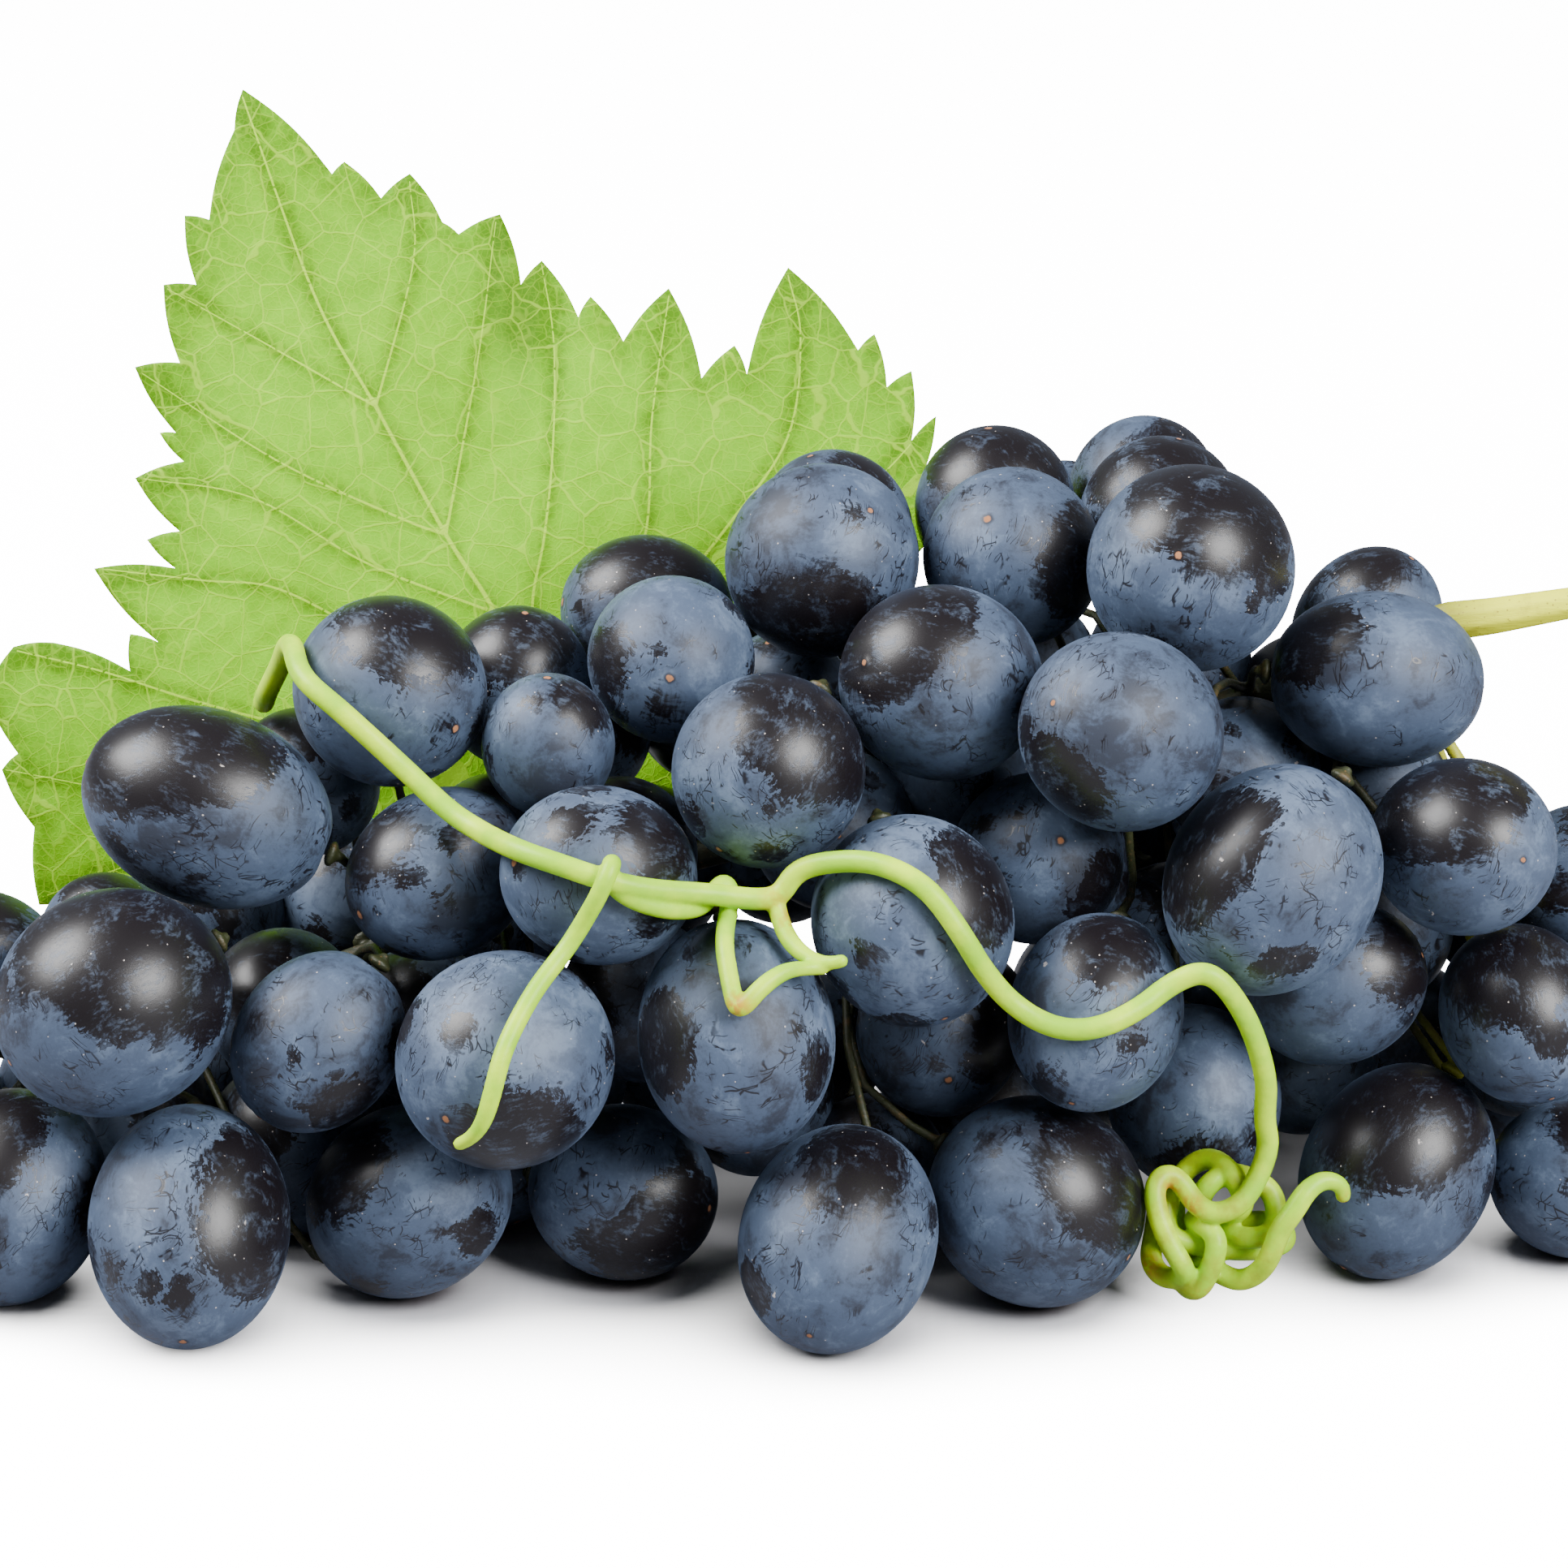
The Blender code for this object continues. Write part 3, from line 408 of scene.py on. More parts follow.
# where the waxy bloom still lies on the skin, how thick it is, and the marks in it
def bloomGroup():
    tree, make, source, result = newGroup(
        "waxyBloom",
        {"place": "NodeSocketVector", "worn": "NodeSocketFloat", "tone": "NodeSocketFloat"},
        {"bloom": "NodeSocketFloat", "thickness": "NodeSocketFloat", "speck": "NodeSocketFloat",
         "height": "NodeSocketFloat"},
    )
    place, worn, tone = source["place"], source["worn"], source["tone"]
    bent = make.warp(place, 0.16, 4.0)
    broad = make.noise(bent, 0.11, 2.0, 0.5)
    patch = make.noise(bent, 0.34, 4.0, 0.6, 0.5)
    grain = make.noise(place, 2.2, 4.0, 0.65)
    streak = make.noise(make.stretched(bent, (0.25, 2.4, 0.9), (0.5, 0.3, 0.9)), 1.0, 4.0, 0.65)
    wipe = make.noise(make.stretched(bent, (2.2, 0.2, 0.7), (1.1, 0.2, 0.4)), 1.0, 4.0, 0.65)

    # the distance into bare skin, with a ragged and streaky edge
    depth = worn
    for noise, amount in ((broad, 6.0), (patch, 5.5), (grain, 1.8), (streak, 4.5), (wipe, 3.5)):
        depth = make.math("ADD", depth, make.math("MULTIPLY_ADD", noise, amount, -0.5 * amount))
    depth = make.math("MULTIPLY_ADD", tone, 0.5, depth)
    softness = make.ramp(make.noise(place, 0.14, 1.0), 0.45, 0.66, 0.12, 1.1)
    bare = make.ramp(make.math("DIVIDE", depth, softness), -1.0, 1.0)

    # rubbed skin keeps a thin smeared film in places
    film = make.math("ADD", make.math("MULTIPLY", streak, 0.5), make.math("MULTIPLY", patch, 0.6))
    film = make.ramp(make.math("MULTIPLY_ADD", grain, 0.3, film), 0.70, 0.88, 0.0, 0.40)
    region = make.ramp(make.noise(place, 0.16, 1.0), 0.46, 0.54)
    lines = make.math("MAXIMUM", scratches(make, place, bent, (0.4, 0.9, 0.2), 0.75),
                      scratches(make, place, bent, (1.3, 0.1, 1.1), 0.95))
    lines = make.math("MULTIPLY", lines, region)
    kept = make.math("MAXIMUM", make.math("SUBTRACT", 1.0, bare), film)
    kept = make.math("MULTIPLY", kept, make.math("MULTIPLY_ADD", lines, -0.92, 1.0))
    make.put(result["bloom"], kept)

    thick = make.math("MULTIPLY_ADD", patch, 0.55, make.math("MULTIPLY", broad, 0.7))
    thick = make.math("MULTIPLY_ADD", grain, 0.22, thick)
    thick = make.math("MULTIPLY_ADD", tone, 0.05, thick)
    make.put(result["thickness"], make.ramp(thick, 0.55, 0.92, smooth=False))

    cells = make.add("ShaderNodeTexVoronoi", {"Vector": place, "Scale": 0.85}, feature="F1")
    rare = make.ramp(cells.outputs["Color"], 0.60, 0.64)
    dot = make.ramp(cells.outputs["Distance"], 0.05, 0.10, 1.0, 0.0)
    flecks = make.add("ShaderNodeTexVoronoi", {"Vector": make.warp(place, 1.6, 1.1), "Scale": 0.2},
                      feature="F1")
    few = make.ramp(flecks.outputs["Color"], 0.66, 0.70)
    fleck = make.ramp(flecks.outputs["Distance"], 0.03, 0.06, 1.0, 0.0)
    marks = make.math("MAXIMUM", make.math("MULTIPLY", dot, rare), make.math("MULTIPLY", fleck, few))
    make.put(result["speck"], marks)
    make.put(result["height"], make.math("MULTIPLY_ADD", grain, 0.35, kept))
    return tree


def berryMaterial():
    look = berryLook
    material, make, shader = newMaterial("berrySkin")
    group = make.add("ShaderNodeGroup", node_tree=bloomGroup())
    make.put(group.inputs["place"], make.attribute("skinPlace", "Vector"))
    make.put(group.inputs["worn"], make.attribute("skinWorn"))
    make.put(group.inputs["tone"], make.attribute("skinTone"))
    bloom, thickness, speck = (group.outputs[k] for k in ("bloom", "thickness", "speck"))
    waxy = make.mix(make.ramp(thickness, 0.0, 0.5), look["thinBloomColour"], look["bloomColour"])
    waxy = make.mix(make.ramp(thickness, 0.5, 1.0), waxy, look["thickBloomColour"])
    colour = make.mix(bloom, look["skinColour"], waxy)
    colour = make.mix(make.math("MULTIPLY", speck, 0.7), colour, look["speckColour"])
    ragged = make.noise(make.attribute("skinPlace", "Vector"), 1.5, 2.0)
    apart = make.math("MULTIPLY_ADD", ragged, 0.9, make.attribute("fromTip"))
    scar = make.ramp(apart, 1.05, 1.45, 1.0, 0.0)
    colour = make.mix(make.ramp(apart, 1.4, 2.3, 0.75, 0.0), colour, look["skinColour"])
    colour = make.mix(scar, colour, look["scarColour"])
    make.put(shader.inputs["Base Color"], colour)
    rough = make.ramp(bloom, 0.0, 1.0, look["skinRoughness"], look["bloomRoughness"], smooth=False)
    make.put(shader.inputs["Roughness"], make.math("MAXIMUM", rough, scar))
    shader.inputs["IOR"].default_value = 1.42
    shader.inputs["Sheen Weight"].default_value = 0.05
    shader.inputs["Sheen Roughness"].default_value = 0.35
    shader.inputs["Sheen Tint"].default_value = (0.4, 0.6, 1.0, 1)
    height = group.outputs["height"]
    bump = make.add("ShaderNodeBump", {"Height": height, "Strength": 0.12, "Distance": 0.0002})
    make.put(shader.inputs["Normal"], bump.outputs[0])
    return material


berrySkin = berryMaterial()
faces = berryFaces(berryLook["segments"], berryLook["rings"])
count = (berryLook["rings"] - 1) * berryLook["segments"] + 2
byNode = {}
for berry in berries:
    byNode.setdefault(berry["node"], []).append(berryShape(berry))
for name, shapes in byNode.items():
    points = np.vstack([s[0] for s in shapes])
    allFaces = [tuple(i + k * count for i in f) for k in range(len(shapes)) for f in faces]
    merged = {key: np.concatenate([s[1][key] for s in shapes]) for key in shapes[0][1]}
    title = name.replace("berry_", "grape_").replace("berries_", "grapes_")
    makeObject(title, gridMesh(title, points * mm, allFaces, merged), berrySkin, "berry_skin", name)
print("berries built", len(byNode))

leafLook = {
    "spacing": 0.5,  # mm between points of the blade
    "thickness": 0.32,  # mm
    "bulge": 0.05,  # how round the sides of the teeth are
    "veinHeight": 0.16,  # mm
    "lightColour": (0.170, 0.45, 0.0, 1),
    "midColour": (0.125, 0.36, 0.0, 1),
    "darkColour": (0.028, 0.10, 0.0, 1),
    "veinColour": (0.34, 0.56, 0.025, 1),
}
leafVeins = {
    "middle": (0.50, [(0, 0), (-6, 13.5), (-12, 23), (-20.5, 38.5), (-28, 52), (-37, 76.5)]),
    "middleInner": (0.26, [(-20.5, 38.5), (-16, 56), (-16.5, 66)]),
    "middleOuter": (0.28, [(-12, 23), (-8, 45), (-6, 61)]),
    "fold": (0.34, [(0, 0), (-1.5, 13.5), (0, 23), (1, 34), (1, 46.5), (-0.5, 56)]),
    "right": (0.36, [(0, 0), (6, 10), (12, 22), (13, 37), (15, 52)]),
    "rightLobe": (0.42, [(0, 0), (13, 13), (22.5, 24.5), (29.5, 35), (31, 47), (29.5, 54.5)]),
    "rightOuter": (0.32, [(13, 13), (28.5, 20.5), (40, 29.5), (47, 37)]),
    "rightLow": (0.26, [(0, 0), (16, 2), (32, 10), (44, 14)]),
    "leftTop": (0.24, [(-20.5, 38.5), (-33.5, 46), (-46, 53)]),
    "leftUpper": (0.28, [(-12, 23), (-17.5, 25), (-32.5, 32), (-49.5, 43)]),
    "leftMiddle": (0.28, [(-6, 13.5), (-21.5, 19.5), (-35.5, 27.5), (-49.5, 30)]),
    "leftLower": (0.36, [(0, 0), (-11, 6), (-21.5, 11), (-32.5, 16.5), (-41.5, 17.5), (-54.5, 19)]),
    "leftLobe": (0.42, [(0, 0), (-16.5, -3), (-31.5, 0), (-43, 3), (-54, 6.5), (-64.5, 9)]),
    "leftLobeLow": (0.28, [(-16.5, -3), (-33.5, -8), (-48, -8.5), (-66, -5.5)]),
    "leftLobeLast": (0.26, [(-16.5, -3), (-30.5, -12), (-46, -15.5), (-61.5, -21)]),
    "lowest": (0.30, [(0, 0), (-9, -8), (-20, -14), (-28, -24)]),
}


def insideOutline(points, outline):
    x, y = points[:, 0], points[:, 1]
    odd = np.zeros(len(points), bool)
    for (ax, ay), (bx, by) in zip(outline, np.roll(outline, -1, axis=0)):
        cross = (ay > y) != (by > y)
        odd ^= cross & (x < ax + (y - ay) / (by - ay + 1e-12) * (bx - ax))
    return odd


# how far points are from a line of points, and how far along it the nearest place is
def lineDistance(points, line):
    best, where = np.full(len(points), 1e9), np.zeros(len(points))
    total = np.linalg.norm(np.diff(line, axis=0), axis=1).sum()
    run = 0.0
    for a, b in zip(line[:-1], line[1:]):
        step = b - a
        length = np.linalg.norm(step)
        t = np.clip((points - a) @ step / length**2, 0, 1)
        away = np.linalg.norm(points - a - t[:, None] * step, axis=1)
        closer = away < best
        best = np.where(closer, away, best)
        where = np.where(closer, (run + t * length) / total, where)
        run += length
    return best, where


# a smooth curve through the points, evenly resampled
def curveThrough(points, spacing):
    points = np.asarray(points, float)
    p = np.vstack([2 * points[0] - points[1], points, 2 * points[-1] - points[-2]])
    dense = []
    for a, b, c, d in zip(p[:-3], p[1:-2], p[2:-1], p[3:]):
        t = np.linspace(0, 1, 8, endpoint=False)[:, None]
        dense.append(0.5 * (2 * b + (c - a) * t + (2 * a - 5 * b + 4 * c - d) * t**2
                            + (3 * b - a - 3 * c + d) * t**3))
    dense = np.vstack(dense + [points[-1:]])
    run = np.r_[0, np.cumsum(np.linalg.norm(np.diff(dense, axis=0), axis=1))]
    even = np.linspace(0, run[-1], max(2, round(run[-1] / spacing) + 1))
    return np.stack([np.interp(even, run, dense[:, k]) for k in range(dense.shape[1])], 1)


def finerOutline(outline, spacing, bulge):
    out = []
    for a, b in zip(outline, np.roll(outline, -1, axis=0)):
        step = b - a
        length = np.linalg.norm(step)
        normal = np.array([-step[1], step[0]]) / length
        count = max(2, round(length / spacing))
        for t in np.arange(count) / count:
            out.append(a + t * step + normal * bulge * length * math.sin(math.pi * t))
    return np.array(out)


def tubeFaces(rings, sides, start=0):
    faces = []
    for r in range(rings - 1):
        for k in range(sides):
            a, b = start + r * sides + k, start + r * sides + (k + 1) % sides
            faces.append((a, b, b + sides, a + sides))
    faces.append(tuple(start + k for k in reversed(range(sides))))
    faces.append(tuple(start + (rings - 1) * sides + k for k in range(sides)))
    return faces


# points of a round tube along a line, ring by ring, without twist
def tubeRings(line, radii, sides):
    way = np.gradient(line, axis=0)
    way /= np.linalg.norm(way, axis=1)[:, None]
    side = np.cross(way[0], (0.3, 0.5, 0.8))
    rings = []
    for place, ahead, radius in zip(line, way, radii):
        side = side - ahead * (side @ ahead)
        side /= np.linalg.norm(side)
        other = np.cross(ahead, side)
        angle = np.linspace(0, 2 * np.pi, sides, endpoint=False)[:, None]
        rings.append(place + radius * (np.cos(angle) * side + np.sin(angle) * other))
    return np.vstack(rings)


def leafMesh():
    look = leafLook
    edge = finerOutline(leafOutline, look["spacing"], look["bulge"])
    low, high = edge.min(0), edge.max(0)
    us = np.arange(low[0], high[0], look["spacing"])
    vs = np.arange(low[1], high[1], look["spacing"] * 0.87)
    grid = np.stack(np.meshgrid(us, vs, indexing="ij"), -1)
    grid[:, 1::2, 0] += look["spacing"] / 2
    grid = grid.reshape(-1, 2)
    grid = grid[insideOutline(grid, edge)]
    rim = np.vstack([edge, edge[:1]])
    grid = grid[lineDistance(grid, rim)[0] > look["spacing"] * 0.55]
    ridges = []
    for _, line in leafVeins.values():
        ridge = curveThrough(line, 0.6)
        inner = insideOutline(ridge, edge) & (lineDistance(ridge, rim)[0] > 0.3)
        ridges.append(ridge[inner])
    ridges = np.vstack(ridges)
    crowd = KDTree(len(ridges))
    for index, (x, y) in enumerate(ridges):
        crowd.insert((x, y, 0), index)
    crowd.balance()
    grid = grid[[crowd.find((x, y, 0))[2] > 0.3 for x, y in grid]]
    flat, _, faces, *_ = delaunay_2d_cdt(
        [Vector(p) for p in np.vstack([edge, ridges, grid])],
        [(k, (k + 1) % len(edge)) for k in range(len(edge))],
        [list(range(len(edge)))], 1, 1e-3)
    flat = np.array([tuple(p) for p in flat])
    vein, nearVein = np.zeros(len(flat)), np.full(len(flat), 1e9)
    fromVein = np.full(len(flat), 9.0)
    for width, line in leafVeins.values():
        away, along = lineDistance(flat, curveThrough(line, 0.6))
        wide = width * (1 - 0.65 * along)
        fromVein = np.minimum(fromVein, away / wide)
        vein = np.maximum(vein, np.exp(-((away / wide) ** 2)) * (1 - 0.4 * along))
        nearVein = np.minimum(nearVein, away + 0.8 * (1 - along))
    fromEdge = lineDistance(flat, rim)[0]
    u, v = flat.T
    pucker = 0.09 * np.sin(u * 0.9 + 2 * np.sin(v * 0.31)) * np.sin(v * 0.8 + 1.7 * np.sin(u * 0.27))
    pucker *= smoothStep(0.5, 4, nearVein) * smoothStep(0, 3, fromEdge)
    sheet = leafPoint(u, v, pucker)
    thick = look["thickness"] / 2 * (0.35 + 0.65 * smoothStep(0, 1.2, fromEdge))
    front = sheet - (thick + look["veinHeight"] * vein)[:, None] * backWay
    back = sheet + (thick + look["veinHeight"] * 1.3 * vein)[:, None] * backWay
    n, around = len(flat), len(edge)
    faces = [tuple(f) for f in faces]
    allFaces = faces + [tuple(i + n for i in reversed(f)) for f in faces]
    allFaces += [((k + 1) % around, k, k + n, (k + 1) % around + n) for k in range(around)]
    stalk = curveThrough([leafFoot, (-29, 31, 38), (-28, 20, 36), (-26, 10, 36)], 0.6)
    radii = 1.05 + 0.15 * np.exp(-np.arange(len(stalk)) * 0.6 / 3)
    rings = tubeRings(stalk, radii, 20)
    points = np.vstack([front, back, rings])
    allFaces += tubeFaces(len(stalk), 20, 2 * n)
    tail = np.zeros(len(rings))
    mesh = gridMesh("vineLeaf", (points + shift) * mm, allFaces, {
        "leafPlace": np.vstack([np.c_[u, v, 0 * u], np.c_[u, v, 0 * u], rings - leafFoot]),
        "fromVein": np.r_[fromVein, fromVein, tail],
        "nearVein": np.r_[nearVein, nearVein, tail],
        "fromEdge": np.r_[fromEdge, fromEdge, tail + 9],
        "shade": np.r_[leafFoldShadeAndTips(u, v), leafFoldShadeAndTips(u, v), tail],
    })
    work = bmesh.new()
    work.from_mesh(mesh)
    bmesh.ops.recalc_face_normals(work, faces=work.faces)
    work.to_mesh(mesh)
    work.free()
    return mesh


# painted shade in the crease of the fold between the middle and right lobes, and the darker tips
def leafFoldShadeAndTips(u, v):
    fold = 1.5 * np.exp(-((u + 2.5) ** 2) / 16 - (v - 49) ** 2 / 22) * (u < 0.9)
    tips = 0.30 * smoothStep(20, 75, v + 0.35 * np.abs(u + 15)) + 0.30 * smoothStep(-35, -65, u)
    return np.maximum(fold, tips)


# the fine net of veins: three sizes of cells
def veinNetGroup():
    tree, make, source, result = newGroup(
        "veinNet", {"place": "NodeSocketVector"},
        {"net": "NodeSocketFloat", "mottle": "NodeSocketFloat"})
    place = make.warp(source["place"], 0.35, 1.0)
    large = make.ramp(make.voronoi(place, 0.17, "DISTANCE_TO_EDGE", 0.85), 0.008, 0.026, 1.0, 0.0)
    medium = make.ramp(make.voronoi(place, 0.45, "DISTANCE_TO_EDGE", 0.9), 0.015, 0.05, 0.5, 0.0)
    small = make.ramp(make.voronoi(source["place"], 1.3, "DISTANCE_TO_EDGE"), 0.03, 0.13, 0.22, 0.0)
    net = make.math("MAXIMUM", make.math("MAXIMUM", large, medium), small)
    make.put(result["net"], net)
    make.put(result["mottle"], make.noise(source["place"], 0.13, 4.0, 0.6, 0.5))
    return tree


def leafMaterial():
    look = leafLook
    material, make, shader = newMaterial("leafBlade")
    group = make.add("ShaderNodeGroup", node_tree=veinNetGroup())
    place = make.attribute("leafPlace", "Vector")
    make.put(group.inputs["place"], place)
    fromVein, nearVein, fromEdge = (make.attribute(k) for k in ("fromVein", "nearVein", "fromEdge"))
    vein = make.ramp(fromVein, 0.3, 0.85, 1.0, 0.0)
    mottle = make.ramp(group.outputs["mottle"], 0.36, 0.66)
    colour = make.mix(mottle, look["midColour"], look["lightColour"])
    colour = make.mix(0.35, colour, look["lightColour"])
    rim = make.ramp(fromEdge, 0.2, 5.0, 0.7, 0.0)
    # painted shade along both sides of the raised veins
    veinSideShade = make.ramp(nearVein, 0.3, 2.6, 0.95, 0.0)
    edgeDarkAndShade = make.math("ADD", rim, veinSideShade)
    edgeDarkAndShade = make.math("MULTIPLY", edgeDarkAndShade, make.ramp(make.noise(place, 0.5, 3.0), 0.3, 0.7, 0.35, 1.0))
    edgeDarkAndShade = make.math("ADD", edgeDarkAndShade, make.math("MULTIPLY", make.attribute("shade"), 0.9), clamp=True)
    # darker near the edge and towards the tips, with painted shade along the veins and in the fold
    colour = make.mix(make.math("MULTIPLY", edgeDarkAndShade, 0.75), colour, look["darkColour"])
    colour = make.mix(make.math("MULTIPLY", group.outputs["net"], 0.5), colour, look["veinColour"])
    colour = make.mix(make.math("MULTIPLY", vein, 0.9), colour, look["veinColour"])
    make.put(shader.inputs["Base Color"], colour)
    shader.inputs["Roughness"].default_value = 0.55
    shader.inputs["Specular IOR Level"].default_value = 0.06
    height = make.math("MULTIPLY_ADD", make.noise(place, 3.0, 3.0), 0.5, group.outputs["net"])
    bump = make.add("ShaderNodeBump", {"Height": height, "Strength": 0.35, "Distance": 0.0002})
    make.put(shader.inputs["Normal"], bump.outputs[0])
    return material


makeObject("vine_leaf", leafMesh(), leafMaterial(), "leaf", "leaf")
print("leaf built")

tendrilLook = {
    "radius": 1.2,  # mm, the main strand
    "forkRadius": 1.0,
    "voxel": 0.26,  # mm, how finely the strand is remade
    "smoothing": 6,
    "freshColour": (0.50, 0.76, 0.0, 1),
    "greenColour": (0.29, 0.58, 0.0, 1),
    "oldColour": (0.24, 0.24, 0.01, 1),
    "blushColour": (0.42, 0.08, 0.02, 1),
}
# the tendril's strands as (across, up, front), seen from the front and leaning back
tendrilStrands = {
    "main": [
        (-58.5, 53.5, 20.5), (-57.5, 55.5, 25), (-55.5, 59, 30), (-54, 61.5, 36.5), (-52.5, 58, 43),
        (-48, 54, 45), (-41.5, 48, 44.5), (-36.5, 43.5, 45.5), (-32.5, 41, 48), (-28, 39, 54.5),
        (-23.5, 37.5, 57), (-19, 36, 57), (-14.5, 35, 55), (-8.5, 34.5, 52), (-1, 34, 50.5), (1.5, 37, 51),
        (6.5, 38, 53.5), (11, 37.5, 56), (15.5, 35, 57.5), (19, 30.5, 57.5), (21.5, 26.5, 55.5),
        (25, 22.5, 53), (29.5, 20, 53), (34, 20, 53.5), (38.5, 22, 52.5), (42, 24.5, 51.5), (45.5, 26, 52),
        (48, 24.5, 51.5), (51, 20, 49), (53, 14, 45), (53, 9.5, 42), (53.5, 6.5, 40), (52.5, 3.5, 39.5),
        (51, 1, 39.5), (49.5, -0.5, 39.5), (47, -1.5, 39.5), (45.5, -1, 39), (43.5, 0.5, 38),
        (42, 2.5, 37.5), (40.5, 3, 37.5), (39, 2, 38), (39, -0.5, 38.5), (40, -3, 39), (41.5, -5.5, 39),
        (43, -7.5, 39), (43, -8.5, 37), (41, -8.5, 35.5), (40, -7, 35), (40.5, -5, 33.5), (41, -3, 32.5),
        (41.5, -1, 32), (42, 1.5, 32.5), (43, 2, 34.5), (42.5, -1, 36), (42.5, -3.5, 36.3),
        (44, -4.5, 36.5), (46.5, -5, 36), (50, -5.5, 35.5), (53, -5.5, 35), (56, -5, 34), (56.5, -3.5, 33),
        (53.5, -2.5, 32.5), (51, -3, 32), (48, -3, 32), (46, -2, 34), (46, -2.5, 36.5), (47.5, -3, 38.8),
        (48.5, -5, 39.5), (47.5, -6.5, 39), (47, -8.5, 38), (45.5, -10.5, 37), (44.5, -9, 36),
        (45, -7, 33.5), (47, -5, 32.5), (49, -4, 34.5), (51.5, -4, 37.5), (54, -4, 37.5), (55, -2, 36),
        (54.5, 1, 35), (52, 2.5, 35), (49.5, 3, 35.5), (47.5, 2, 36.5), (46.5, 0.5, 36), (47, -1.5, 34),
        (49, -2, 34), (50.5, -1.5, 36.5), (51.5, -0.5, 37), (50.5, 2, 37), (48.5, 4.5, 35), (46, 4, 33),
        (44, 1.5, 32), (44, -2, 30.5), (44.5, -6, 31.5), (46, -7.5, 34.5), (47.5, -7.5, 35.5),
        (49.5, -8.5, 36.5), (51, -9, 37), (52.5, -8, 38.5), (54, -6, 40.5), (54.5, -3.5, 41.5),
        (56, -1.5, 42), (57.5, 1, 42), (59, 2.5, 41.5), (61, 2.5, 41), (62.5, 1.5, 40.5), (62, 0, 40),
    ],
    "long": [
        (-19, 36.5, 57), (-18.5, 38.5, 59), (-19.5, 35.5, 60), (-23, 29.5, 57.5), (-27, 24, 60),
        (-30, 18, 63), (-31.5, 12.5, 63), (-33, 9, 61.5), (-35.5, 7.5, 59),
    ],
    "hook": [
        (-19, 36, 57), (-17.5, 34.5, 56), (-13.5, 33, 54), (-9.5, 33, 51), (-7.5, 35, 48),
        (-6, 36.5, 47), (-6, 33.5, 48.5), (-6.5, 29.5, 54), (-6, 26, 56.5), (-5, 22, 58.5),
        (-4, 23, 58.5), (-0.5, 26, 57), (2.5, 26.5, 55), (5, 26.5, 54.5),
    ],
    "curl": [
        (-1, 34, 50.5), (0, 30.5, 51.5), (1.5, 28.5, 53), (4, 27, 54.5), (7, 27.5, 55.5),
    ],
}
tendrilJoints = [(-1, 34, 50.5), (0.5, 31.5, 51), (-5, 22.5, 59)]  # across, up, front: where it reddens
knotSpots = [
    (43, 1.5, 38.5), (45, -0.5, 39.5), (41, -7.5, 35.5), (47, -10, 37), (62.5, 0, 40), (54, -4.5, 40),
]
knotCentre = (47.5, -3, 36)


def fromFront(rows):
    rows = np.atleast_2d(np.array(rows, float))
    return rows[:, :1] * rightWay + rows[:, 1:2] * upWay - rows[:, 2:] * backWay + shift


# one fine closed mesh out of several solids that run into each other
def remade(label, solids, voxel, smoothing):
    work = bmesh.new()
    for solid in solids:
        work.from_mesh(solid)
    bmesh.ops.remove_doubles(work, verts=work.verts, dist=1e-6)
    mesh = bpy.data.meshes.new(label)
    work.to_mesh(mesh)
    work.free()
    holder = bpy.data.objects.new(label, mesh)
    bpy.context.scene.collection.objects.link(holder)
    remesh = holder.modifiers.new("remesh", "REMESH")
    remesh.mode = "VOXEL"
    remesh.voxel_size = voxel * mm
    soften = holder.modifiers.new("soften", "SMOOTH")
    soften.factor = 0.5
    soften.iterations = smoothing
    fine = bpy.data.meshes.new_from_object(holder.evaluated_get(bpy.context.evaluated_depsgraph_get()))
    bpy.data.objects.remove(holder)
    return fine


# how far points are outside the nearest berry, and the way straight out of it
def berryClearance(points):
    best, ways = np.full(len(points), 99.0), np.zeros_like(points)
    for berry in berries:
        rel = points - berry["centre"]
        g, l = berry["halfGirth"], berry["halfLength"]
        along = rel @ berry["tip"]
        across = rel - along[:, None] * berry["tip"]
        level = np.sqrt((across**2).sum(1) / g**2 + along**2 / l**2)
        slope = across / g**2 + along[:, None] / l**2 * berry["tip"]
        steep = np.linalg.norm(slope, axis=1)
        out = (level - 1) * level / np.maximum(steep, 1e-9)
        closer = out < best
        best = np.where(closer, out, best)
        ways = np.where(closer[:, None], slope / np.maximum(steep, 1e-9)[:, None], ways)
    return best, ways


# lies a strand on the berries, then smooths it
def laid(rows, radius):
    points = curveThrough(fromFront(rows), 2.5)
    start = points.copy()
    for _ in range(60):
        gap, out = berryClearance(points)
        points = points + out * np.maximum(radius + 0.4 - gap, 0)[:, None]
        points[:, 2] = np.maximum(points[:, 2], radius + 0.3)
        moved = points - start
        moved[1:-1] = 0.5 * moved[1:-1] + 0.25 * (moved[:-2] + moved[2:])
        points = start + moved
    line = curveThrough(points, 0.5)
    for _ in range(6):
        line[1:-1] = 0.5 * line[1:-1] + 0.25 * (line[:-2] + line[2:])
    for _ in range(3):
        gap, out = berryClearance(line)
        line = line + out * np.maximum(radius + 0.12 - gap, 0)[:, None]
    line[:, 2] = np.maximum(line[:, 2], radius + 0.1)
    return line


# a closed round strand along a line, with rounded ends
def strandMesh(line, radius, tipShare):
    run = np.arange(len(line)) * 0.5
    radii = radius * (1 - (1 - tipShare) * smoothStep(run[-1] - 9, run[-1], run))
    for ends, end in ((run, 0), (run[-1] - run, -1)):
        size = radii[end]
        cap = np.clip(1 - ends / size, 0, 1)
        radii = radii * np.sqrt(np.maximum(1 - cap**2, 0.02))
    return gridMesh("strand", tubeRings(line, radii, 20) * mm, tubeFaces(len(line), 20), {})


def spotMask(points, spots, size):
    out = np.zeros(len(points))
    for spot in spots:
        out = np.maximum(out, np.exp(-(np.linalg.norm(points - spot, axis=1) / size) ** 2))
    return out


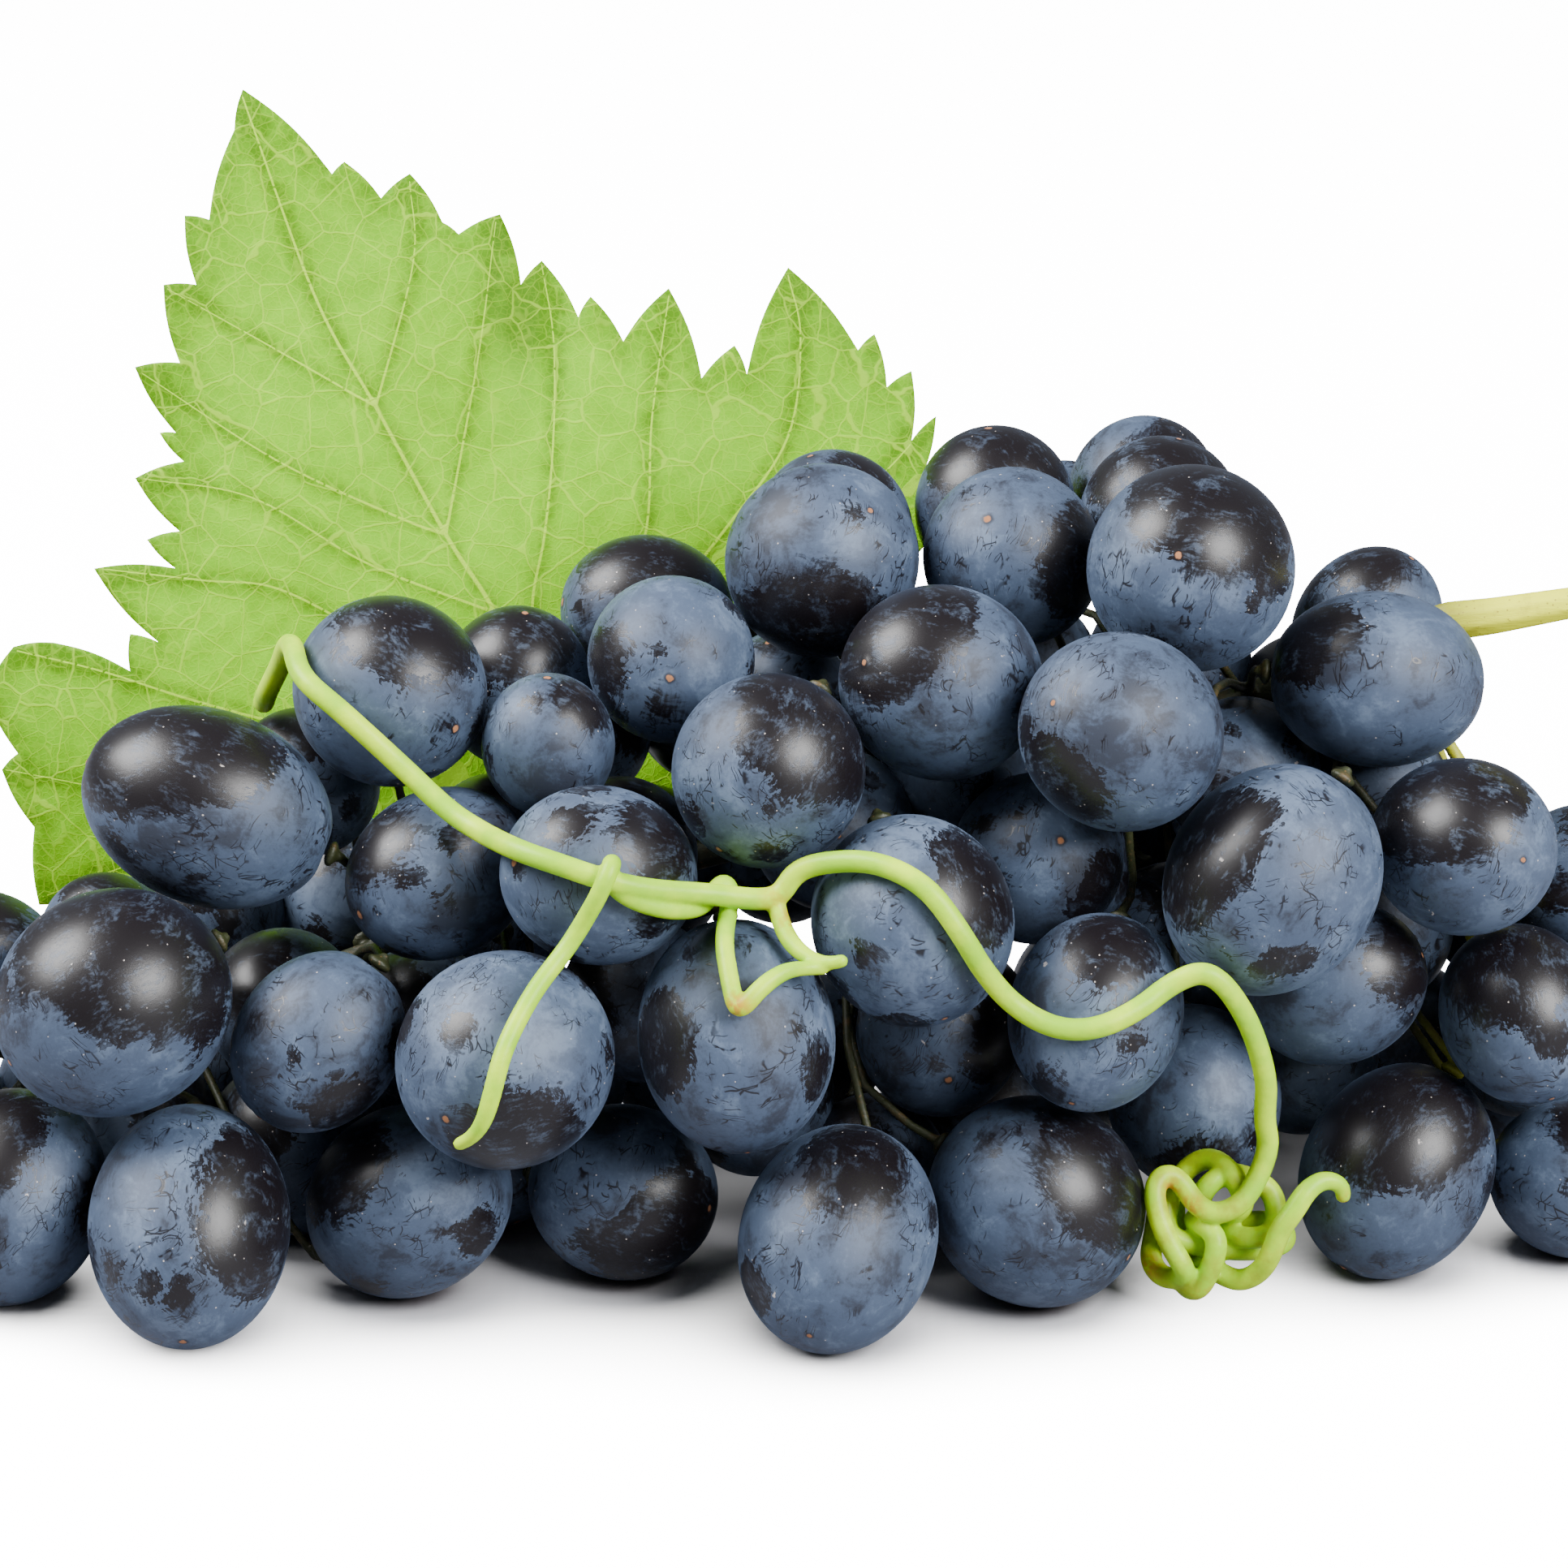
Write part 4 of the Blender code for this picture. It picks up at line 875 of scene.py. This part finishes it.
# push every point out along its normal, in mm
def inflate(mesh, amount):
    points = meshPoints(mesh)
    normals = np.empty(len(points) * 3, np.float32)
    mesh.vertex_normals.foreach_get("vector", normals)
    points += normals.reshape(-1, 3) * np.asarray(amount).reshape(-1, 1) * mm
    mesh.vertices.foreach_set("co", points.astype(np.float32).ravel())
    mesh.update()


def tendrilMaterial():
    look = tendrilLook
    material, make, shader = newMaterial("tendrilSkin")
    place = make.attribute("vinePlace", "Vector")
    soft = make.noise(place, 0.16, 3.0)
    colour = make.mix(make.ramp(soft, 0.35, 0.65), look["greenColour"], look["freshColour"])
    old = make.math("MULTIPLY", make.attribute("old"), make.ramp(make.noise(place, 0.35, 4.0), 0.35, 0.75))
    colour = make.mix(make.math("MULTIPLY", old, 0.75), colour, look["oldColour"])
    blush = make.math("MULTIPLY", make.attribute("blush"), make.ramp(make.noise(place, 1.1, 3.0), 0.3, 0.6))
    colour = make.mix(make.math("MULTIPLY", blush, 0.8), colour, look["blushColour"])
    make.put(shader.inputs["Base Color"], colour)
    shader.inputs["Roughness"].default_value = 0.42
    shader.inputs["Specular IOR Level"].default_value = 0.25
    ridges = make.noise(make.stretched(place, (2.0, 2.0, 2.0)), 1.0, 3.0)
    bump = make.add("ShaderNodeBump", {"Height": ridges, "Strength": 0.15, "Distance": 0.0002})
    make.put(shader.inputs["Normal"], bump.outputs[0])
    return material


strands = []
for title, rows in tendrilStrands.items():
    radius = tendrilLook["radius" if title == "main" else "forkRadius"]
    strands.append(strandMesh(laid(rows, radius), radius, 0.7))
tendrilMesh = remade("tendrilFine", strands, tendrilLook["voxel"], tendrilLook["smoothing"])
inflate(tendrilMesh, 0.05)
places = meshPoints(tendrilMesh) / mm
knotNear = 1 - smoothStep(6, 15, np.linalg.norm(places - fromFront(knotCentre), axis=1))
addAttributes(tendrilMesh, {
    "vinePlace": places,
    "old": knotNear,
    "blush": np.maximum(spotMask(places, fromFront(tendrilJoints), 1.7),
                        spotMask(places, fromFront(knotSpots), 1.6)),
})
makeObject("curling_tendril", tendrilMesh, tendrilMaterial(), "tendril", "tendril")
print("tendril built", len(places))

stalkLook = {
    "voxel": 0.26,  # mm
    "smoothing": 5,
    "freshColour": (0.66, 0.68, 0.015, 1),
    # painted shade: the near-black given to the stalks inside the bunch
    "bunchShadeColour": (0.018, 0.022, 0.004, 1),
    "woodColour": (0.16, 0.08, 0.025, 1),
}


# the swollen end of a berry's stalk
def receptacle(berry):
    work = bmesh.new()
    bmesh.ops.create_uvsphere(work, u_segments=16, v_segments=8, radius=mm)
    place = berry["centre"] - berry["tip"] * (berry["halfLength"] + 0.35)
    turn = Vector(berry["tip"]).to_track_quat("Z", "Y").to_matrix().to_4x4()
    matrix = Matrix.Translation(Vector(place * mm)) @ turn @ Matrix.Diagonal((1.5, 1.5, 0.6, 1))
    bmesh.ops.transform(work, matrix=matrix, verts=work.verts)
    mesh = bpy.data.meshes.new("receptacle")
    work.to_mesh(mesh)
    work.free()
    return mesh


def stalkMaterial():
    look = stalkLook
    material, make, shader = newMaterial("stalkSkin")
    place = make.attribute("vinePlace", "Vector")
    outsideBunchShade = make.attribute("outsideBunchShade")
    # the stalks inside the bunch get painted shade; the part outside the bunch keeps its fresh colour
    colour = make.mix(outsideBunchShade, look["bunchShadeColour"], look["freshColour"])
    patch = make.ramp(make.noise(place, 0.5, 4.0, 0.6), 0.5, 0.75)
    colour = make.mix(make.math("MULTIPLY", patch, 0.35), colour, look["woodColour"])
    colour = make.mix(make.math("MULTIPLY", make.attribute("cut"), 0.7), colour, look["woodColour"])
    dots = make.ramp(make.voronoi(place, 1.3), 0.10, 0.18, 0.6, 0.0)
    colour = make.mix(dots, colour, look["woodColour"])
    make.put(shader.inputs["Base Color"], colour)
    shader.inputs["Roughness"].default_value = 0.55
    streaks = make.noise(make.stretched(place, (0.5, 3.0, 3.0)), 1.0, 4.0)
    bump = make.add("ShaderNodeBump", {"Height": streaks, "Strength": 0.3, "Distance": 0.0003})
    make.put(shader.inputs["Normal"], bump.outputs[0])
    return material


stalkSolids = [nodes["stem"].data] + [receptacle(b) for b in berries]
stalkMesh = remade("stalksFine", stalkSolids, stalkLook["voxel"], stalkLook["smoothing"])
inflate(stalkMesh, 0.08)
places = meshPoints(stalkMesh) / mm
stalkEnd = (120, 0, 78) + shift
addAttributes(stalkMesh, {
    "vinePlace": places,
    # the stalk outside the bunch; the stalks inside it get painted shade
    "outsideBunchShade": smoothStep(70, 84, places[:, 0] - shift[0]),
    "cut": spotMask(places, [stalkEnd], 2.5),
})
makeObject("stalks", stalkMesh, stalkMaterial(), "stalk", "stem")
print("stalks built", len(places))

stageLook = {
    "floorColour": (0.62, 0.62, 0.65, 1),
    "shadowColour": (0.05, 0.04, 0.045, 1),
    "bounceColour": (0.25, 0.25, 0.28, 1),  # what the floor gives back to the bunch
    "floorGlow": 14.0,  # how much brighter the open floor looks than the light makes it
    "glowFrom": 0.13,  # how open to the light the floor is where it starts to glow
    "glowFull": 0.5,
    "deepFrom": 0.02,  # how open it is where the darkest shadow starts to clear
    "deepFull": 0.16,
    "floorSpan": 0.24,  # m, half the width of the finely divided floor under the bunch
    "floorStep": 0.002,  # m
    "worldColour": (0.90, 0.95, 1.0, 1),
    "worldStrength": 0.28,
    "keyPower": 25.5,
    "fillPower": 21.5,
}
cameraLook = {"distance": 700, "height": 49.5, "lens": 140, "sensor": 36}


# how open the floor is to the light at some points in mm, past the berries lying on it
def floorOpenness(points):
    clear = np.ones(len(points))
    for berry in berries:
        away = berry["centre"] - points
        apart = np.linalg.norm(away, axis=1)
        clear *= 1 - np.clip(away[:, 2] * berry["halfGirth"] ** 2 / apart**3, 0, 1)
    return clear


fine = np.arange(-stageLook["floorSpan"], stageLook["floorSpan"], stageLook["floorStep"])
across, along = np.concatenate([[-4], fine, [4]]), np.concatenate([[-3], fine, [6]])
spots = np.stack(np.meshgrid(across, along), -1).reshape(-1, 2)
spots = np.column_stack([spots, np.zeros(len(spots))])
width = len(across)
corners = [row * width + k for row in range(len(along) - 1) for k in range(width - 1)]
floorFaces = [(c, c + 1, c + width + 1, c + width) for c in corners]
floorMesh = gridMesh("floor", spots, floorFaces, {"open": floorOpenness(spots / mm)})
floor = bpy.data.objects.new("floor", floorMesh)
bpy.context.scene.collection.objects.link(floor)
floorMaterial, make, shader = newMaterial("paleFloor")
shader.inputs["Roughness"].default_value = 0.8
clearness = make.attribute("open")
glow = make.ramp(clearness, stageLook["glowFrom"], stageLook["glowFull"], 0.0, stageLook["floorGlow"])
deep = make.ramp(clearness, stageLook["deepFrom"], stageLook["deepFull"])
seen = make.add("ShaderNodeLightPath").outputs["Is Camera Ray"]
colour = make.mix(deep, stageLook["shadowColour"], stageLook["floorColour"])
make.put(shader.inputs["Base Color"], make.mix(seen, stageLook["bounceColour"], colour))
shader.inputs["Emission Color"].default_value = (1, 1, 1, 1)
make.put(shader.inputs["Emission Strength"], make.math("MULTIPLY", glow, seen))
floorMesh.materials.append(floorMaterial)

world = bpy.data.worlds.new("studio")
bpy.context.scene.world = world
world.use_nodes = True
world.node_tree.nodes["Background"].inputs["Color"].default_value = stageLook["worldColour"]
world.node_tree.nodes["Background"].inputs["Strength"].default_value = stageLook["worldStrength"]

target = np.array([0, 0, cameraLook["height"]]) + shift
eye = target - backWay * cameraLook["distance"]


# a square light, placed from the bunch along the camera's own directions
def softBox(name, right, up, toCamera, away, size, power):
    way = right * rightWay + up * upWay - toCamera * backWay
    place = Vector((target + way / np.linalg.norm(way) * away) * mm)
    light = bpy.data.lights.new(name, "AREA")
    light.shape = "SQUARE"
    light.size = size
    light.energy = power
    lamp = bpy.data.objects.new(name, light)
    lamp.location = place
    lamp.rotation_euler = (place - Vector(target * mm)).to_track_quat("Z", "Y").to_euler()
    bpy.context.scene.collection.objects.link(lamp)


softBox("keyLight", -0.67, 0.67, 0.28, 900, 0.52, stageLook["keyPower"])
softBox("fillLight", 0.61, 0.34, 0.73, 900, 0.46, stageLook["fillPower"])

camera = bpy.data.cameras.new("camera")
camera.sensor_width = cameraLook["sensor"]
camera.lens = cameraLook["lens"]
viewer = bpy.data.objects.new("camera", camera)
viewer.location = Vector(eye * mm)
viewer.rotation_euler = Vector(-backWay).to_track_quat("Z", "Y").to_euler()
bpy.context.scene.collection.objects.link(viewer)
bpy.context.scene.camera = viewer

print("stage built", len(floorFaces))
